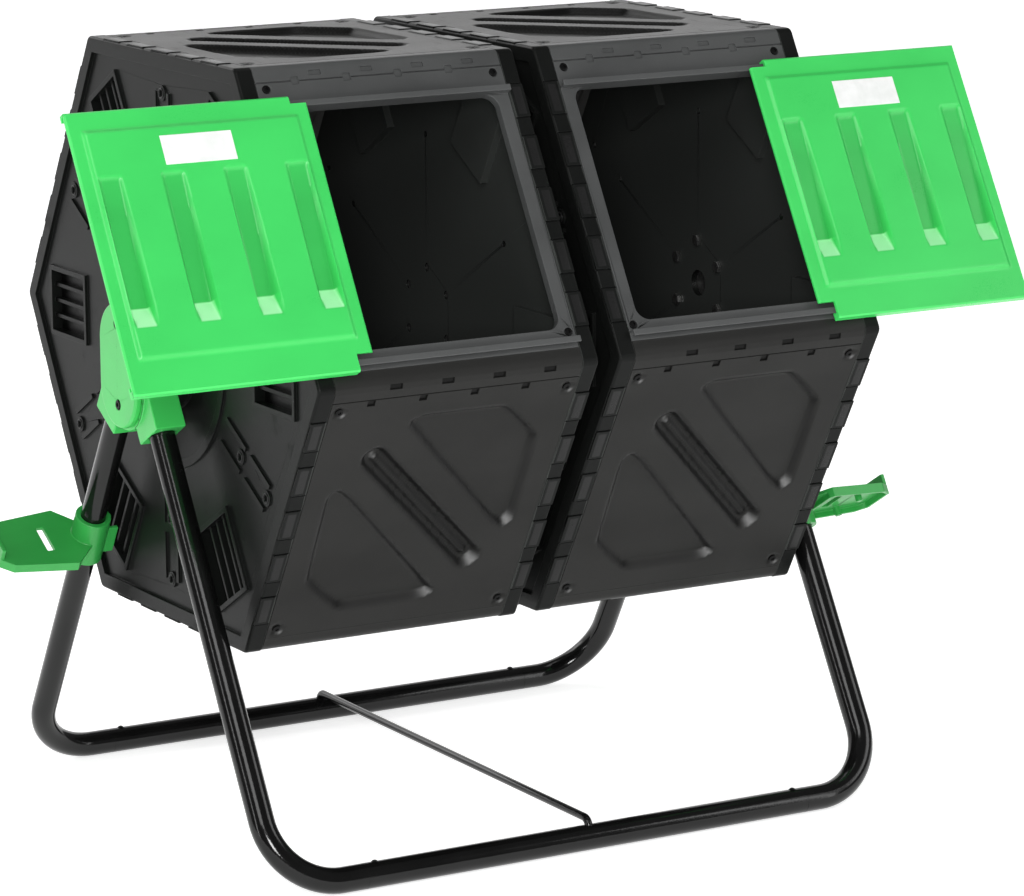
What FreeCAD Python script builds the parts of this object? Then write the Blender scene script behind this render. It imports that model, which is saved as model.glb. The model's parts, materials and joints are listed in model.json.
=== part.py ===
import FreeCAD, Part
import math
import operator
import os

import Sketcher
from FreeCAD import Placement, Rotation, Vector

# Twin-chamber compost tumbler on a bent-tube stand.
# Millimetres. X runs along the drum's axle, left to right, Y runs from front to back, +Z is up.
# The origin is on the floor, under the middle of the stand.

DIMENSIONS = (
    ("axle_height", 494.0, "height of the drum's axle above the floor"),
    ("corner_radius", 325.0, "axle to a sharp corner of the hexagonal drum"),
    ("chamber_length", 300.0, "length of one chamber along the axle"),
    ("chamber_gap", 23.0, "space between the two chambers"),
    ("wall", 3.0, "thickness of the moulded walls"),
    ("lap", 0.3, "play between moulded pieces that lap"),
    ("rim_width", 17.5, "width of an end panel's rim on the drum's faces"),
    ("band_width", 16.3, "width of the band on each side of a drum edge"),
    ("relief", 5.5, "depth of the relief pressed into the side panels"),
    ("relief_slope", 3.5, "width of the slope round the relief"),
    ("edge_slot", 1.5, "depth of the slots and notches in a panel's edge band"),
    ("edge_round", 8.0, "outside radius of the drum's long edges"),
    ("tab_rise", 0.8, "height of the snap tabs over an end panel's rim"),
    ("pocket_depth", 8.0, "depth of the corner pockets in an end panel"),
    ("plate_step", 4.0, "how far an end panel's plate lies behind its rim"),
    ("opening_half_length", 118.5, "half of a door opening, along the axle"),
    ("opening_top", 117.0, "top of a door opening above the face's middle"),
    ("opening_bottom", 126.0, "bottom of a door opening below the face's middle"),
    ("upper_rail", 117.0, "near side of the upper door rail, above the middle"),
    ("lower_rail", 136.5, "near side of the lower door rail, below the middle"),
    ("rail_rise", 8.0, "height of a door rail over the face"),
    ("rail_web", 2.5, "thickness of a door rail"),
    ("rail_lip", 3.8, "overhang of a door rail's lip"),
    ("door_half_length", 123.5, "half of a door, along the axle"),
    ("left_door_travel", 214.0, "how far the left door stands open"),
    ("right_door_travel", 204.0, "how far the right door stands open"),
    ("door_channel_pitch", 63.5, "distance between the pull channels of a door"),
    ("leg_plane", 340.0, "distance of a leg's centre line from the drum's middle"),
    ("rail_half_depth", 283.0, "half distance between the front and back floor rails"),
    ("tube_radius", 12.7, "outer radius of the stand's tube"),
    ("tube_wall", 1.5, "wall of the stand's tube"),
    ("floor_bend", 68.0, "centre-line radius of the bends at the floor"),
    ("rail_half_length", 250.0, "half length of a straight floor rail"),
    ("leg_top_gap", 45.0, "distance from the axle to the top end of a leg"),
    ("rod_radius", 4.0, "radius of the spacer rod"),
    ("rod_height", 31.0, "height of the spacer rod's centre line"),
    ("shaft_radius", 12.4, "radius of an axle stub"),
    ("shaft_play", 0.05, "radial play of an axle stub in its bushing"),
    ("bush_wall", 3.5, "wall of a bushing"),
    ("hub_inner", 322.0, "drum-side face of a hub housing"),
    ("hub_outer", 356.0, "outboard face of a hub housing"),
    ("hub_radius", 43.0, "radius of a hub's rounded ends"),
    ("hub_drop", 43.0, "distance from the axle down to the lower rounded end"),
    ("flange_radius", 58.0, "radius of an axle stub's flange"),
    ("bolt_circle", 45.0, "radius of the bolt circle round the axle"),
    ("bolt_radius", 4.0, "radius of the bolts round the axle"),
    ("lever_drop", 252.0, "distance from the axle to a lock lever, along the leg"),
    ("lever_reach", 105.0, "outboard reach of a lock lever's tongue"),
    ("screw_radius", 1.9, "radius of a panel screw's shank"),
    ("screw_head", 4.2, "radius of a panel screw's head"),
)

COS30 = math.cos(math.radians(30))
TAN30 = math.tan(math.radians(30))
FACES = 6
DOOR_FACE = 150
SIDE_FACES = (30, 90, 210, 270, 330)
CHAMBERS = (("left", -1), ("right", 1))


class Size:
    """A length: its value in millimetres and the sheet expression that gives it."""

    def __init__(self, value, text=None):
        self.value = float(value)
        self.text = text if text is not None else repr(round(float(value), 6))

    def _joined(self, other, sign, action):
        other = as_size(other)
        return Size(action(self.value, other.value), f"({self.text} {sign} {other.text})")

    def __add__(self, other):
        return self._joined(other, "+", operator.add)

    def __sub__(self, other):
        return self._joined(other, "-", operator.sub)

    def __mul__(self, other):
        return self._joined(other, "*", operator.mul)

    def __truediv__(self, other):
        return self._joined(other, "/", operator.truediv)

    def __neg__(self):
        return self * -1

    __radd__ = __add__
    __rmul__ = __mul__

    def __rsub__(self, other):
        return as_size(other) - self


def as_size(value):
    """Wrap a plain number as a Size."""
    return value if isinstance(value, Size) else Size(value)


class Sheet:
    """The spreadsheet of driving dimensions, read as attributes."""

    def __init__(self, document, rows):
        self.sheet = document.addObject("Spreadsheet::Sheet", "Sizes")
        for row, (alias, value, note) in enumerate(rows, start=1):
            self.sheet.set(f"A{row}", note)
            self.sheet.set(f"B{row}", str(value))
            self.sheet.setAlias(f"B{row}", alias)
        document.recompute()

    def __getattr__(self, alias):
        return Size(getattr(self.sheet, alias), f"Sizes.{alias}")


doc = FreeCAD.newDocument("CompostTumbler")
dims = Sheet(doc, DIMENSIONS)
nodes = {}

# Worked out from the driving dimensions.
apothem = dims.corner_radius * COS30
half_side = dims.corner_radius / 2
half_panel = dims.chamber_length / 2 - dims.rim_width - dims.lap
chamber_middle = (dims.chamber_length + dims.chamber_gap) / 2
drum_end = dims.chamber_length + dims.chamber_gap / 2
leg_run = dims.axle_height.value - dims.tube_radius.value
leg_length = math.hypot(leg_run, dims.rail_half_depth.value)
leg_lean = math.degrees(math.atan2(dims.rail_half_depth.value, leg_run))
axle = Vector(0, 0, dims.axle_height.value)


# ---- shared construction ------------------------------------------------------------------

def bind(item, prop, size):
    """Set a property from a Size and tie it to the sheet."""
    item.setExpression(prop, as_size(size).text)


def new_body(name, placement=Placement()):
    """Start a named sub-part."""
    body = doc.addObject("PartDesign::Body", name)
    body.Label = name
    body.Placement = placement
    nodes[name] = body
    return body


def origin_item(body, role):
    """One of the body's own base planes or axes."""
    return next(item for item in body.Origin.OriginFeatures if item.Role == role)


def new_sketch(body, plane, name, offset=0):
    """A sketch on one of the body's base planes, moved along the plane's normal."""
    sketch = body.newObject("Sketcher::SketchObject", name)
    sketch.AttachmentSupport = [(origin_item(body, plane), "")]
    sketch.MapMode = "FlatFace"
    bind(sketch, "AttachmentOffset.Base.z", offset)
    return sketch


def hold_point(sketch, geometry, end, x, y):
    """Hold one point of the sketch at its distances from the sketch's origin."""
    for kind, size in (("DistanceX", x), ("DistanceY", y)):
        size = as_size(size)
        rule = sketch.addConstraint(
            Sketcher.Constraint(kind, -1, 1, geometry, end, size.value))
        sketch.setExpression(f"Constraints[{rule}]", size.text)


def draw_outline(sketch, points):
    """A closed outline of straight sides through the points."""
    first = sketch.GeometryCount
    corners = [Vector(as_size(x).value, as_size(y).value, 0) for x, y in points]
    count = len(corners)
    for index, start in enumerate(corners):
        side = Part.LineSegment(start, corners[(index + 1) % count])
        sketch.addGeometry(side, False)
    for index in range(count):
        follower = first + (index + 1) % count
        sketch.addConstraint(
            Sketcher.Constraint("Coincident", first + index, 2, follower, 1))
    for index, (x, y) in enumerate(points):
        hold_point(sketch, first + index, 1, x, y)


def draw_circle(sketch, x, y, radius):
    """A circle held by its centre and radius."""
    radius = as_size(radius)
    centre = Vector(as_size(x).value, as_size(y).value, 0)
    circle = sketch.addGeometry(Part.Circle(centre, Vector(0, 0, 1), radius.value), False)
    hold_point(sketch, circle, 3, x, y)
    rule = sketch.addConstraint(Sketcher.Constraint("Radius", circle, radius.value))
    sketch.setExpression(f"Constraints[{rule}]", radius.text)


def box_points(x_low, x_high, y_low, y_high):
    """Corners of an upright rectangle."""
    return [(x_low, y_low), (x_high, y_low), (x_high, y_high), (x_low, y_high)]


def extrude(body, kind, sketch, length, both_ways=False, reverse=False, taper=0):
    """A Pad or a Pocket of the sketch."""
    feature = body.newObject(f"PartDesign::{kind}", f"{body.Name}_{sketch.Name}_{kind}")
    feature.Profile = sketch
    bind(feature, "Length", length)
    feature.Midplane = both_ways
    feature.Reversed = reverse
    feature.TaperAngle = taper
    sketch.Visibility = False
    return feature


def pad(body, sketch, length, **options):
    return extrude(body, "Pad", sketch, length, **options)


def pocket(body, sketch, length, **options):
    """A Pocket that is checked to have removed material."""
    doc.recompute()
    before = body.Tip.Shape.Volume
    feature = extrude(body, "Pocket", sketch, length, **options)
    doc.recompute()
    if feature.Shape.Volume >= before - 0.01:
        raise RuntimeError(f"{feature.Label} removes nothing")
    return feature


def solid(body, kind, name, placement, **sizes):
    """One of the additive or subtractive primitives, placed in the body."""
    feature = body.newObject(f"PartDesign::{kind}", name)
    for prop, size in sizes.items():
        bind(feature, prop, size)
    feature.Placement = placement
    return feature


def row_of(body, feature, axis, length, count):
    """Repeat a feature along one of the body's axes."""
    pattern = body.newObject("PartDesign::LinearPattern", f"{feature.Name}_row")
    pattern.Originals = [feature]
    pattern.Direction = (origin_item(body, axis), [""])
    bind(pattern, "Length", length)
    pattern.Occurrences = count
    body.Tip = pattern
    return pattern


def ring_of(body, feature, axis, count):
    """Repeat a feature round one of the body's axes."""
    pattern = body.newObject("PartDesign::PolarPattern", f"{feature.Name}_ring")
    pattern.Originals = [feature]
    pattern.Axis = (origin_item(body, axis), [""])
    pattern.Angle = 360
    pattern.Occurrences = count
    body.Tip = pattern
    return pattern


def passing_edges(body, name, wanted):
    """The body's shape so far and the names of its edges that pass the test."""
    doc.recompute()
    tip = body.Tip
    names = [f"Edge{index}" for index, edge in enumerate(tip.Shape.Edges, start=1) if wanted(edge)]
    if not names:
        raise RuntimeError(f"{body.Label} has no edge for {name}")
    return (tip, names)


def round_edges(body, name, radius, wanted):
    """Fillet the edges of the body so far that pass the test."""
    base = passing_edges(body, name, wanted)
    fillet = body.newObject("PartDesign::Fillet", name)
    fillet.Base = base
    bind(fillet, "Radius", radius)
    return fillet


def slope_edges(body, name, width, wanted):
    """Chamfer the edges of the body so far that pass the test."""
    base = passing_edges(body, name, wanted)
    chamfer = body.newObject("PartDesign::Chamfer", name)
    chamfer.Base = base
    bind(chamfer, "Size", width)
    return chamfer


def runs_along(edge, axis):
    """Whether a straight edge runs along the axis."""
    if edge.Curve.TypeId != "Part::GeomLine":
        return False
    return abs(abs(edge.Curve.Direction.dot(axis)) - 1) < 1e-6


def middle_of(edge):
    return edge.BoundBox.Center


def face_placement(angle, x):
    """Frame of a drum face: x along the axle, y up the face, z outward from the axle."""
    return Placement(Vector(x, 0, axle.z), Rotation(Vector(1, 0, 0), angle - 90))


def end_placement(x, facing):
    """Frame of a drum end: z outward, y towards the back."""
    return Placement(Vector(x, 0, axle.z), Rotation(Vector(0, 1, 0), 90 * facing))


# ---- drum: side panels --------------------------------------------------------------------

def side_panel_outline():
    """Section of a side panel: the face, the band round its upper edge and the lower lap."""
    seam = dims.band_width
    wall = dims.wall
    half_lap = dims.lap / 2
    turn_y = half_side + (seam - half_lap) * 0.5
    turn_z = apothem - (seam - half_lap) * COS30
    low = seam + half_lap - half_side
    under = apothem - wall - dims.lap
    lap_width = 9
    return [
        (low, apothem),
        (half_side, apothem),
        (turn_y, turn_z),
        (turn_y - wall * COS30, turn_z - wall * 0.5),
        (half_side - wall * TAN30, apothem - wall),
        (low + lap_width, apothem - wall),
        (low + lap_width, under - wall),
        (low - lap_width, under - wall),
        (low - lap_width, under),
        (low, under),
    ]


def end_lap_outline(side):
    """Section of the lap that reaches under an end panel's rim."""
    under = apothem - dims.wall - dims.lap
    reach = half_panel + 10
    root = half_panel - 8
    return [
        (root * side, apothem - dims.wall * 0.5),
        (half_panel * side, apothem - dims.wall * 0.5),
        (half_panel * side, under),
        (reach * side, under),
        (reach * side, under - dims.wall),
        (root * side, under - dims.wall),
    ]


def panel_blank(name, angle, x):
    """The plate that all six panels of a chamber share, with its laps and edge slots."""
    body = new_body(name, face_placement(angle, x))
    section = new_sketch(body, "YZ_Plane", "Section")
    draw_outline(section, side_panel_outline())
    pad(body, section, half_panel * 2, both_ways=True)
    along = Vector(1, 0, 0)
    corner_z = apothem.value
    round_edges(body, "DrumEdge", dims.edge_round,
                lambda edge: runs_along(edge, along) and abs(middle_of(edge).z - corner_z) < 0.01
                and middle_of(edge).y > half_side.value - 0.01)
    laps = new_sketch(body, "XZ_Plane", "EndLaps")
    for side in (-1, 1):
        draw_outline(laps, end_lap_outline(side))
    pad(body, laps, half_side * 1.68, both_ways=True)
    cut_edge_slots(body)
    return body


def cut_edge_slots(body):
    """Square notches on the seam of the upper edge, and the slots between them."""
    pitch = 55
    seam_y = half_side - dims.band_width
    spread = 3 * pitch
    notch = new_sketch(body, "XY_Plane", "SeamNotch", apothem)
    draw_outline(notch, box_points(-spread / 2 - 12, -spread / 2 - 4, seam_y - 4, seam_y + 4))
    cut = pocket(body, notch, dims.edge_slot)
    row_of(body, cut, "X_Axis", spread, 4)
    slot = new_sketch(body, "XY_Plane", "EdgeSlot", apothem)
    draw_outline(slot, box_points(-spread / 2 + 8, -spread / 2 + 21, half_side - 12, half_side - 7))
    cut = pocket(body, slot, dims.edge_slot)
    row_of(body, cut, "X_Axis", spread, 4)
    groove = new_sketch(body, "YZ_Plane", "SeamGroove")
    draw_outline(groove, box_points(seam_y - 0.5, seam_y + 0.5, apothem - 1, apothem + 1))
    pocket(body, groove, half_panel * 2, both_ways=True)


def turned(x, y, angle):
    """A point turned about the panel's middle."""
    c = math.cos(math.radians(angle))
    s = math.sin(math.radians(angle))
    return (x * c - y * s, x * s + y * c)


def recess_outline(side, grow=0):
    """The many-sided recess in one corner of a side panel, or its mirror through the middle."""
    centre = (42, 62)
    outline = []
    for x, y in ((-46, 112), (-33, 121), (62, 121), (106, 80), (110, -30), (99, -40), (88, -34)):
        away = Vector(x - centre[0], y - centre[1], 0)
        away.normalize()
        outline.append((side * (x + away.x * grow), side * (y + away.y * grow)))
    return outline


def diagonal_outline(half_length, half_width):
    """A bar lying along the panel's diagonal."""
    corners = box_points(-half_length, half_length, -half_width, half_width)
    return [turned(x, y, -46) for x, y in corners]


def across_diagonal(edge):
    """Distance of an edge's middle from the panel's diagonal."""
    return abs(turned(middle_of(edge).x, middle_of(edge).y, 46)[1])


def press_relief(body):
    """Two corner recesses and the ridged diagonal groove, with the bulge they leave inside."""
    groove_half = 12
    ridge_half = 5
    bulge = new_sketch(body, "XY_Plane", "Bulge", apothem - dims.wall)
    for side in (-1, 1):
        draw_outline(bulge, recess_outline(side, 1))
    draw_outline(bulge, diagonal_outline(112, groove_half + 3))
    pad(body, bulge, dims.relief, reverse=True)
    recess = new_sketch(body, "XY_Plane", "Relief", apothem)
    for side in (-1, 1):
        draw_outline(recess, recess_outline(side, -2))
    draw_outline(recess, diagonal_outline(108, groove_half))
    draw_outline(recess, diagonal_outline(94, ridge_half))
    pocket(body, recess, dims.relief)
    outward = Vector(0, 0, 1)
    level = (apothem - dims.relief / 2).value
    face_level = apothem.value

    def in_relief(edge):
        return runs_along(edge, outward) and abs(middle_of(edge).z - level) < 0.05

    def on_rim(edge):
        middle = middle_of(edge)
        flat = edge.BoundBox.ZLength < 0.001 and abs(middle.z - face_level) < 0.001
        return flat and abs(middle.x) < 118 and abs(middle.y) < 128

    round_edges(body, "GrooveEnds", groove_half - 2,
                lambda edge: in_relief(edge) and ridge_half + 1 < across_diagonal(edge) < groove_half + 1)
    round_edges(body, "RidgeEnds", ridge_half - 0.6,
                lambda edge: in_relief(edge) and across_diagonal(edge) < ridge_half + 1)
    round_edges(body, "RecessCorners", 5,
                lambda edge: in_relief(edge) and across_diagonal(edge) > groove_half + 1)
    slope_edges(body, "ReliefSlopes", dims.relief_slope, on_rim)


def drill_screw_holes(body, places):
    """Counterbored holes for the panel screws."""
    heads = new_sketch(body, "XY_Plane", "ScrewSeats", apothem)
    shanks = new_sketch(body, "XY_Plane", "ScrewHoles", apothem)
    for x, y in places:
        draw_circle(heads, x, y, dims.screw_head + 0.3)
        draw_circle(shanks, x, y, dims.screw_radius + 0.2)
    pocket(body, heads, 1.6)
    pocket(body, shanks, 14)


SIDE_SCREWS = [(x, y) for x in (-122, 122) for y in (-135, 135)]
DOOR_SCREWS = [(-125.5, -130), (125.5, -130), (-122, 139), (122, 139)]


def side_panel(chamber, side, angle):
    """One closed face of a chamber."""
    body = panel_blank(f"{chamber}_side_panel_{angle:03d}", angle, chamber_middle.value * side)
    press_relief(body)
    drill_screw_holes(body, SIDE_SCREWS)


def rail_outline(near, way):
    """Section of a door rail: an upright web with a lip that points away from the opening."""
    web = near + dims.rail_web
    lip = web + dims.rail_lip
    top = apothem + dims.rail_rise
    lip_under = top - 2.7
    return [
        (near * way, apothem - 0.5),
        (web * way, apothem - 0.5),
        (web * way, lip_under),
        (lip * way, lip_under),
        (lip * way, top),
        (near * way, top),
    ]


def door_frame(chamber, side):
    """The face with the opening, its raised rim and the two rails that the door runs on."""
    body = panel_blank(f"{chamber}_door_frame", DOOR_FACE, chamber_middle.value * side)
    rails = new_sketch(body, "YZ_Plane", "Rails")
    draw_outline(rails, rail_outline(dims.upper_rail, 1))
    draw_outline(rails, rail_outline(dims.lower_rail, -1))
    pad(body, rails, half_panel * 2, both_ways=True)
    half = dims.opening_half_length
    skirt = new_sketch(body, "XY_Plane", "Skirt", apothem - dims.wall)
    draw_outline(skirt, box_points(-half - 3, half + 3, -dims.opening_bottom - 3, dims.opening_top + 3))
    pad(body, skirt, 6, reverse=True)
    opening = new_sketch(body, "XY_Plane", "Opening", apothem + 1)
    draw_outline(opening, box_points(-half, half, -dims.opening_bottom, dims.opening_top))
    pocket(body, opening, 20)
    outward = Vector(0, 0, 1)
    inside = half.value + 0.5
    round_edges(body, "OpeningCorners", 14,
                lambda edge: runs_along(edge, outward) and abs(middle_of(edge).x) < inside
                and abs(middle_of(edge).x) > inside - 1)
    drill_screw_holes(body, DOOR_SCREWS)


def screw_solid(seat):
    """A pan-head panel screw standing on z, with its head in its seat."""
    head = Part.makeCylinder(dims.screw_head.value, 1.5, Vector(0, 0, seat - 1.55))
    shank = Part.makeCylinder(dims.screw_radius.value, 9, Vector(0, 0, seat - 10.5))
    drive = Part.makeBox(5, 1, 0.7, Vector(-2.5, -0.5, seat - 0.7))
    cross = Part.makeBox(1, 5, 0.7, Vector(-0.5, -2.5, seat - 0.7))
    return head.fuse(shank).cut(drive).cut(cross).removeSplitter()


def screw_group(chamber, side):
    """All panel screws of one chamber: separate solids of one design."""
    screw = screw_solid(apothem.value)
    solids = []
    for angle in SIDE_FACES + (DOOR_FACE,):
        places = DOOR_SCREWS if angle == DOOR_FACE else SIDE_SCREWS
        for x, y in places:
            copy = screw.copy()
            frame = face_placement(angle, chamber_middle.value * side)
            copy.Placement = frame.multiply(Placement(Vector(x, y, 0), Rotation()))
            solids.append(copy)
    add_group(f"{chamber}_panel_screws", solids)


def add_group(name, solids, placement=Placement()):
    """A node of separate solids of one design."""
    group = doc.addObject("Part::Feature", name)
    group.Label = name
    group.Shape = Part.makeCompound(solids)
    group.Placement = placement
    nodes[name] = group


# ---- drum: end panels ---------------------------------------------------------------------

def hexagon(radius):
    """Corners of a hexagon with two corners on the y axis."""
    points = []
    for corner in range(FACES):
        turn = math.radians(60 * corner)
        points.append((radius * math.sin(turn), radius * math.cos(turn)))
    return points


def end_panel(chamber, place, x, facing, outer):
    """A hexagonal dished end with its rim, corner frames, centre boss and air vents."""
    body = new_body(f"{chamber}_{place}_end_panel", end_placement(x.value, facing))
    blank = new_sketch(body, "XY_Plane", "Blank")
    draw_outline(blank, hexagon(dims.corner_radius))
    pad(body, blank, dims.rim_width, reverse=True)
    outward = Vector(0, 0, 1)
    round_edges(body, "HexagonCorners", dims.edge_round, lambda edge: runs_along(edge, outward))
    round_edges(body, "RimEdge", 3, lambda edge: abs(edge.BoundBox.ZMin) < 0.001)
    back = new_sketch(body, "XY_Plane", "Back", -dims.rim_width)
    draw_outline(back, hexagon(dims.corner_radius - dims.wall / COS30))
    pocket(body, back, dims.rim_width - dims.plate_step - dims.wall, reverse=True)
    front = new_sketch(body, "XY_Plane", "Front")
    draw_outline(front, hexagon(dims.corner_radius - 18))
    pocket(body, front, dims.plate_step)
    add_end_relief(body)
    add_centre_boss(body, outer)
    add_rim_tabs(body)


def add_end_relief(body):
    """Framed corner pockets with ribs, and paired ribs and vents at the middle of each side."""
    level = -dims.plate_step
    near = 186
    far = 272
    half = 36
    rim = 5
    bulge = new_sketch(body, "XY_Plane", "PocketBulge", level - dims.wall)
    draw_outline(bulge, box_points(2 - half, half - 2, near + 2, far - 2))
    ring_of(body, pad(body, bulge, dims.pocket_depth, reverse=True), "Z_Axis", FACES)
    frames = new_sketch(body, "XY_Plane", "CornerFrame", level)
    draw_outline(frames, box_points(-half, half, near, far))
    ring_of(body, pad(body, frames, 3), "Z_Axis", FACES)
    pockets = new_sketch(body, "XY_Plane", "CornerPocket", level + 3)
    draw_outline(pockets, box_points(rim - half, half - rim, near + rim, far - rim))
    ring_of(body, pocket(body, pockets, dims.pocket_depth + 3), "Z_Axis", FACES)
    bars = new_sketch(body, "XY_Plane", "PocketRibs", level - dims.pocket_depth)
    for across in (-16, 0, 16):
        draw_outline(bars, box_points(across - 2, across + 2, near + rim, far - rim))
    ring_of(body, pad(body, bars, dims.pocket_depth - 1), "Z_Axis", FACES)
    ribs = new_sketch(body, "XY_Plane", "SideRibs", level)
    for across in (-14, 14):
        for inner in (140, 196):
            draw_outline(ribs, box_points(inner, inner + 46, across - 2.5, across + 2.5))
    ring_of(body, pad(body, ribs, 2.5), "Z_Axis", FACES)
    bosses = new_sketch(body, "XY_Plane", "VentBosses", level)
    holes = new_sketch(body, "XY_Plane", "VentHoles")
    for radius in (180, 241):
        draw_circle(bosses, radius, 0, 8)
        draw_circle(holes, radius, 0, 3)
    ring_of(body, pad(body, bosses, 2), "Z_Axis", FACES)
    ring_of(body, pocket(body, holes, dims.plate_step + dims.wall + 2), "Z_Axis", FACES)


def add_centre_boss(body, outer):
    """The raised boss round the axle, with its step ring and bolt holes."""
    level = -dims.plate_step
    ring = new_sketch(body, "XY_Plane", "StepRing", level)
    draw_circle(ring, 0, 0, 127)
    draw_circle(ring, 0, 0, 118)
    pad(body, ring, 2.5)
    boss = new_sketch(body, "XY_Plane", "Boss", level)
    draw_circle(boss, 0, 0, 70)
    pad(body, boss, dims.plate_step)
    holes = new_sketch(body, "XY_Plane", "BoltHole")
    draw_circle(holes, dims.bolt_circle, 0, dims.bolt_radius + 0.2)
    ring_of(body, pocket(body, holes, dims.plate_step + dims.wall + 1), "Z_Axis", FACES)
    if outer:
        centre = new_sketch(body, "XY_Plane", "AxleHole")
        draw_circle(centre, 0, 0, dims.shaft_radius + 1)
        pocket(body, centre, dims.plate_step + dims.wall + 1)


def add_rim_tabs(body):
    """The snap tabs along the rim of each side, with a slit at each end of a tab."""
    pitch = 54
    half = 17
    slit = 1.2
    tabs = new_sketch(body, "YZ_Plane", "RimTab", apothem - 0.5)
    slits = new_sketch(body, "YZ_Plane", "TabSlit", apothem)
    for place in range(-2, 3):
        middle = place * pitch
        draw_outline(tabs, box_points(middle - half, middle + half, 2 - dims.rim_width, -0.6))
        for way in (-1, 1):
            ends = sorted((middle + way * half, middle + way * (half + slit)))
            draw_outline(slits, box_points(*ends, 1 - dims.rim_width, 0.5))
    ring_of(body, pocket(body, slits, 1.4), "Z_Axis", FACES)
    ring_of(body, pad(body, tabs, dims.tab_rise + 0.5), "Z_Axis", FACES)


def coupling():
    """The disc that joins the two chambers, and the bolts that pass through it."""
    body = new_body("chamber_coupling", end_placement(0, 1))
    disc = new_sketch(body, "XY_Plane", "Disc")
    draw_circle(disc, 0, 0, dims.flange_radius + 4)
    pad(body, disc, dims.chamber_gap - 0.4, both_ways=True)
    holes = new_sketch(body, "XY_Plane", "BoltHole", dims.chamber_gap / 2)
    draw_circle(holes, dims.bolt_circle, 0, dims.bolt_radius + 0.2)
    ring_of(body, pocket(body, holes, dims.chamber_gap * 1.5), "Z_Axis", FACES)
    grip = dims.chamber_gap.value / 2 + dims.plate_step.value + dims.wall.value
    add_group("coupling_bolts", bolt_ring(-grip, grip, nut=True), end_placement(0, 1))


def bolt_ring(low, high, nut):
    """Six bolts round the axle: heads at the high end, nuts or threads at the low end."""
    bolts = []
    radius = dims.bolt_radius.value
    for place in range(FACES):
        shank = Part.makeCylinder(radius, high - low, Vector(0, 0, low))
        head = Part.makeCylinder(radius * 1.6, 3.6, Vector(0, 0, high))
        bolt = shank.fuse(head)
        if nut:
            bolt = bolt.fuse(Part.makeCylinder(radius * 1.6, 4, Vector(0, 0, low - 4)))
        bolt = bolt.removeSplitter()
        turn = Rotation(Vector(0, 0, 1), 60 * place)
        centre = turn.multVec(Vector(dims.bolt_circle.value, 0, 0))
        bolt.Placement = Placement(centre, turn)
        bolts.append(bolt)
    return bolts


def axle_stub(chamber, facing):
    """A flanged shaft bolted to an outer end panel, with its bolts."""
    body = new_body(f"{chamber}_axle_stub", end_placement(drum_end.value * facing, facing))
    flange = new_sketch(body, "XY_Plane", "Flange")
    draw_circle(flange, 0, 0, dims.flange_radius)
    pad(body, flange, 2.5)
    shaft = new_sketch(body, "XY_Plane", "Shaft")
    draw_circle(shaft, 0, 0, dims.shaft_radius)
    pad(body, shaft, dims.hub_outer - drum_end - 3)
    holes = new_sketch(body, "XY_Plane", "BoltHole", 2.5)
    draw_circle(holes, dims.bolt_circle, 0, dims.bolt_radius + 0.2)
    ring_of(body, pocket(body, holes, 5), "Z_Axis", FACES)
    inner = -dims.plate_step.value - dims.wall.value
    add_group(f"{chamber}_axle_bolts", bolt_ring(inner, 2.5, nut=True), body.Placement)


# ---- sliding doors ------------------------------------------------------------------------

def door_outline():
    """Section of a door: its plate with hooked flanges that run round the rails."""
    top_in = dims.upper_rail + dims.rail_web
    top_out = top_in + dims.rail_lip + 0.7
    low_in = dims.lower_rail + dims.rail_web
    low_out = low_in + dims.rail_lip + 0.7
    under = apothem + dims.rail_rise + 0.5
    outside = under + dims.wall
    hook_low = apothem + 2.2
    hook_high = hook_low + 2.6
    return [
        (-low_out, under),
        (-low_out, hook_high),
        (-low_in - 0.7, hook_high),
        (-low_in - 0.7, hook_low),
        (-low_out - 6.3, hook_low),
        (-low_out - 6.3, outside),
        (top_out + 2.8, outside),
        (top_out + 2.8, hook_low),
        (top_in + 0.7, hook_low),
        (top_in + 0.7, hook_high),
        (top_out, hook_high),
        (top_out, under),
    ]


def channel_outline(outside, depth, margin):
    """Side view of a pull channel: level with the door at its top, ever steeper to its bottom."""
    top = 61 + margin
    deepest = -66
    steps = 6
    points = []
    for step in range(steps + 1):
        share = step / steps
        fall = share ** 1.5
        points.append((top + (deepest - top) * share, outside + margin * 0.2 - depth * fall))
    points.append((-87 - margin, outside + margin * 0.2))
    return points


def door(chamber, side):
    """A door standing fully open: its plate, raised panel and four pull channels."""
    travel = dims.left_door_travel if side < 0 else dims.right_door_travel
    shift = (chamber_middle + travel).value * side
    body = new_body(f"{chamber}_door", face_placement(DOOR_FACE, shift))
    half = dims.door_half_length
    section = new_sketch(body, "YZ_Plane", "Section")
    draw_outline(section, door_outline())
    pad(body, section, half * 2, both_ways=True)
    outside = apothem + dims.rail_rise + 0.5 + dims.wall
    raised = new_sketch(body, "XY_Plane", "RaisedPanel", outside - 0.2)
    draw_outline(raised, box_points(-half + 12, half - 12, -118, 108))
    pad(body, raised, 3.2, taper=-35)
    surface = outside + 3
    first = -1.5 * dims.door_channel_pitch
    shell = new_sketch(body, "YZ_Plane", "ChannelShell", first)
    draw_outline(shell, channel_outline(surface - 1.5, 11.3, 2))
    row_of(body, pad(body, shell, 28, both_ways=True), "X_Axis", dims.door_channel_pitch * 3, 4)
    channel = new_sketch(body, "YZ_Plane", "Channel", first)
    draw_outline(channel, channel_outline(surface + 0.5, 11, 0))
    row_of(body, pocket(body, channel, 23.5, both_ways=True), "X_Axis", dims.door_channel_pitch * 3, 4)
    cut_door_notches(body, -side)
    add_label(chamber, body.Placement, surface)


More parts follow.
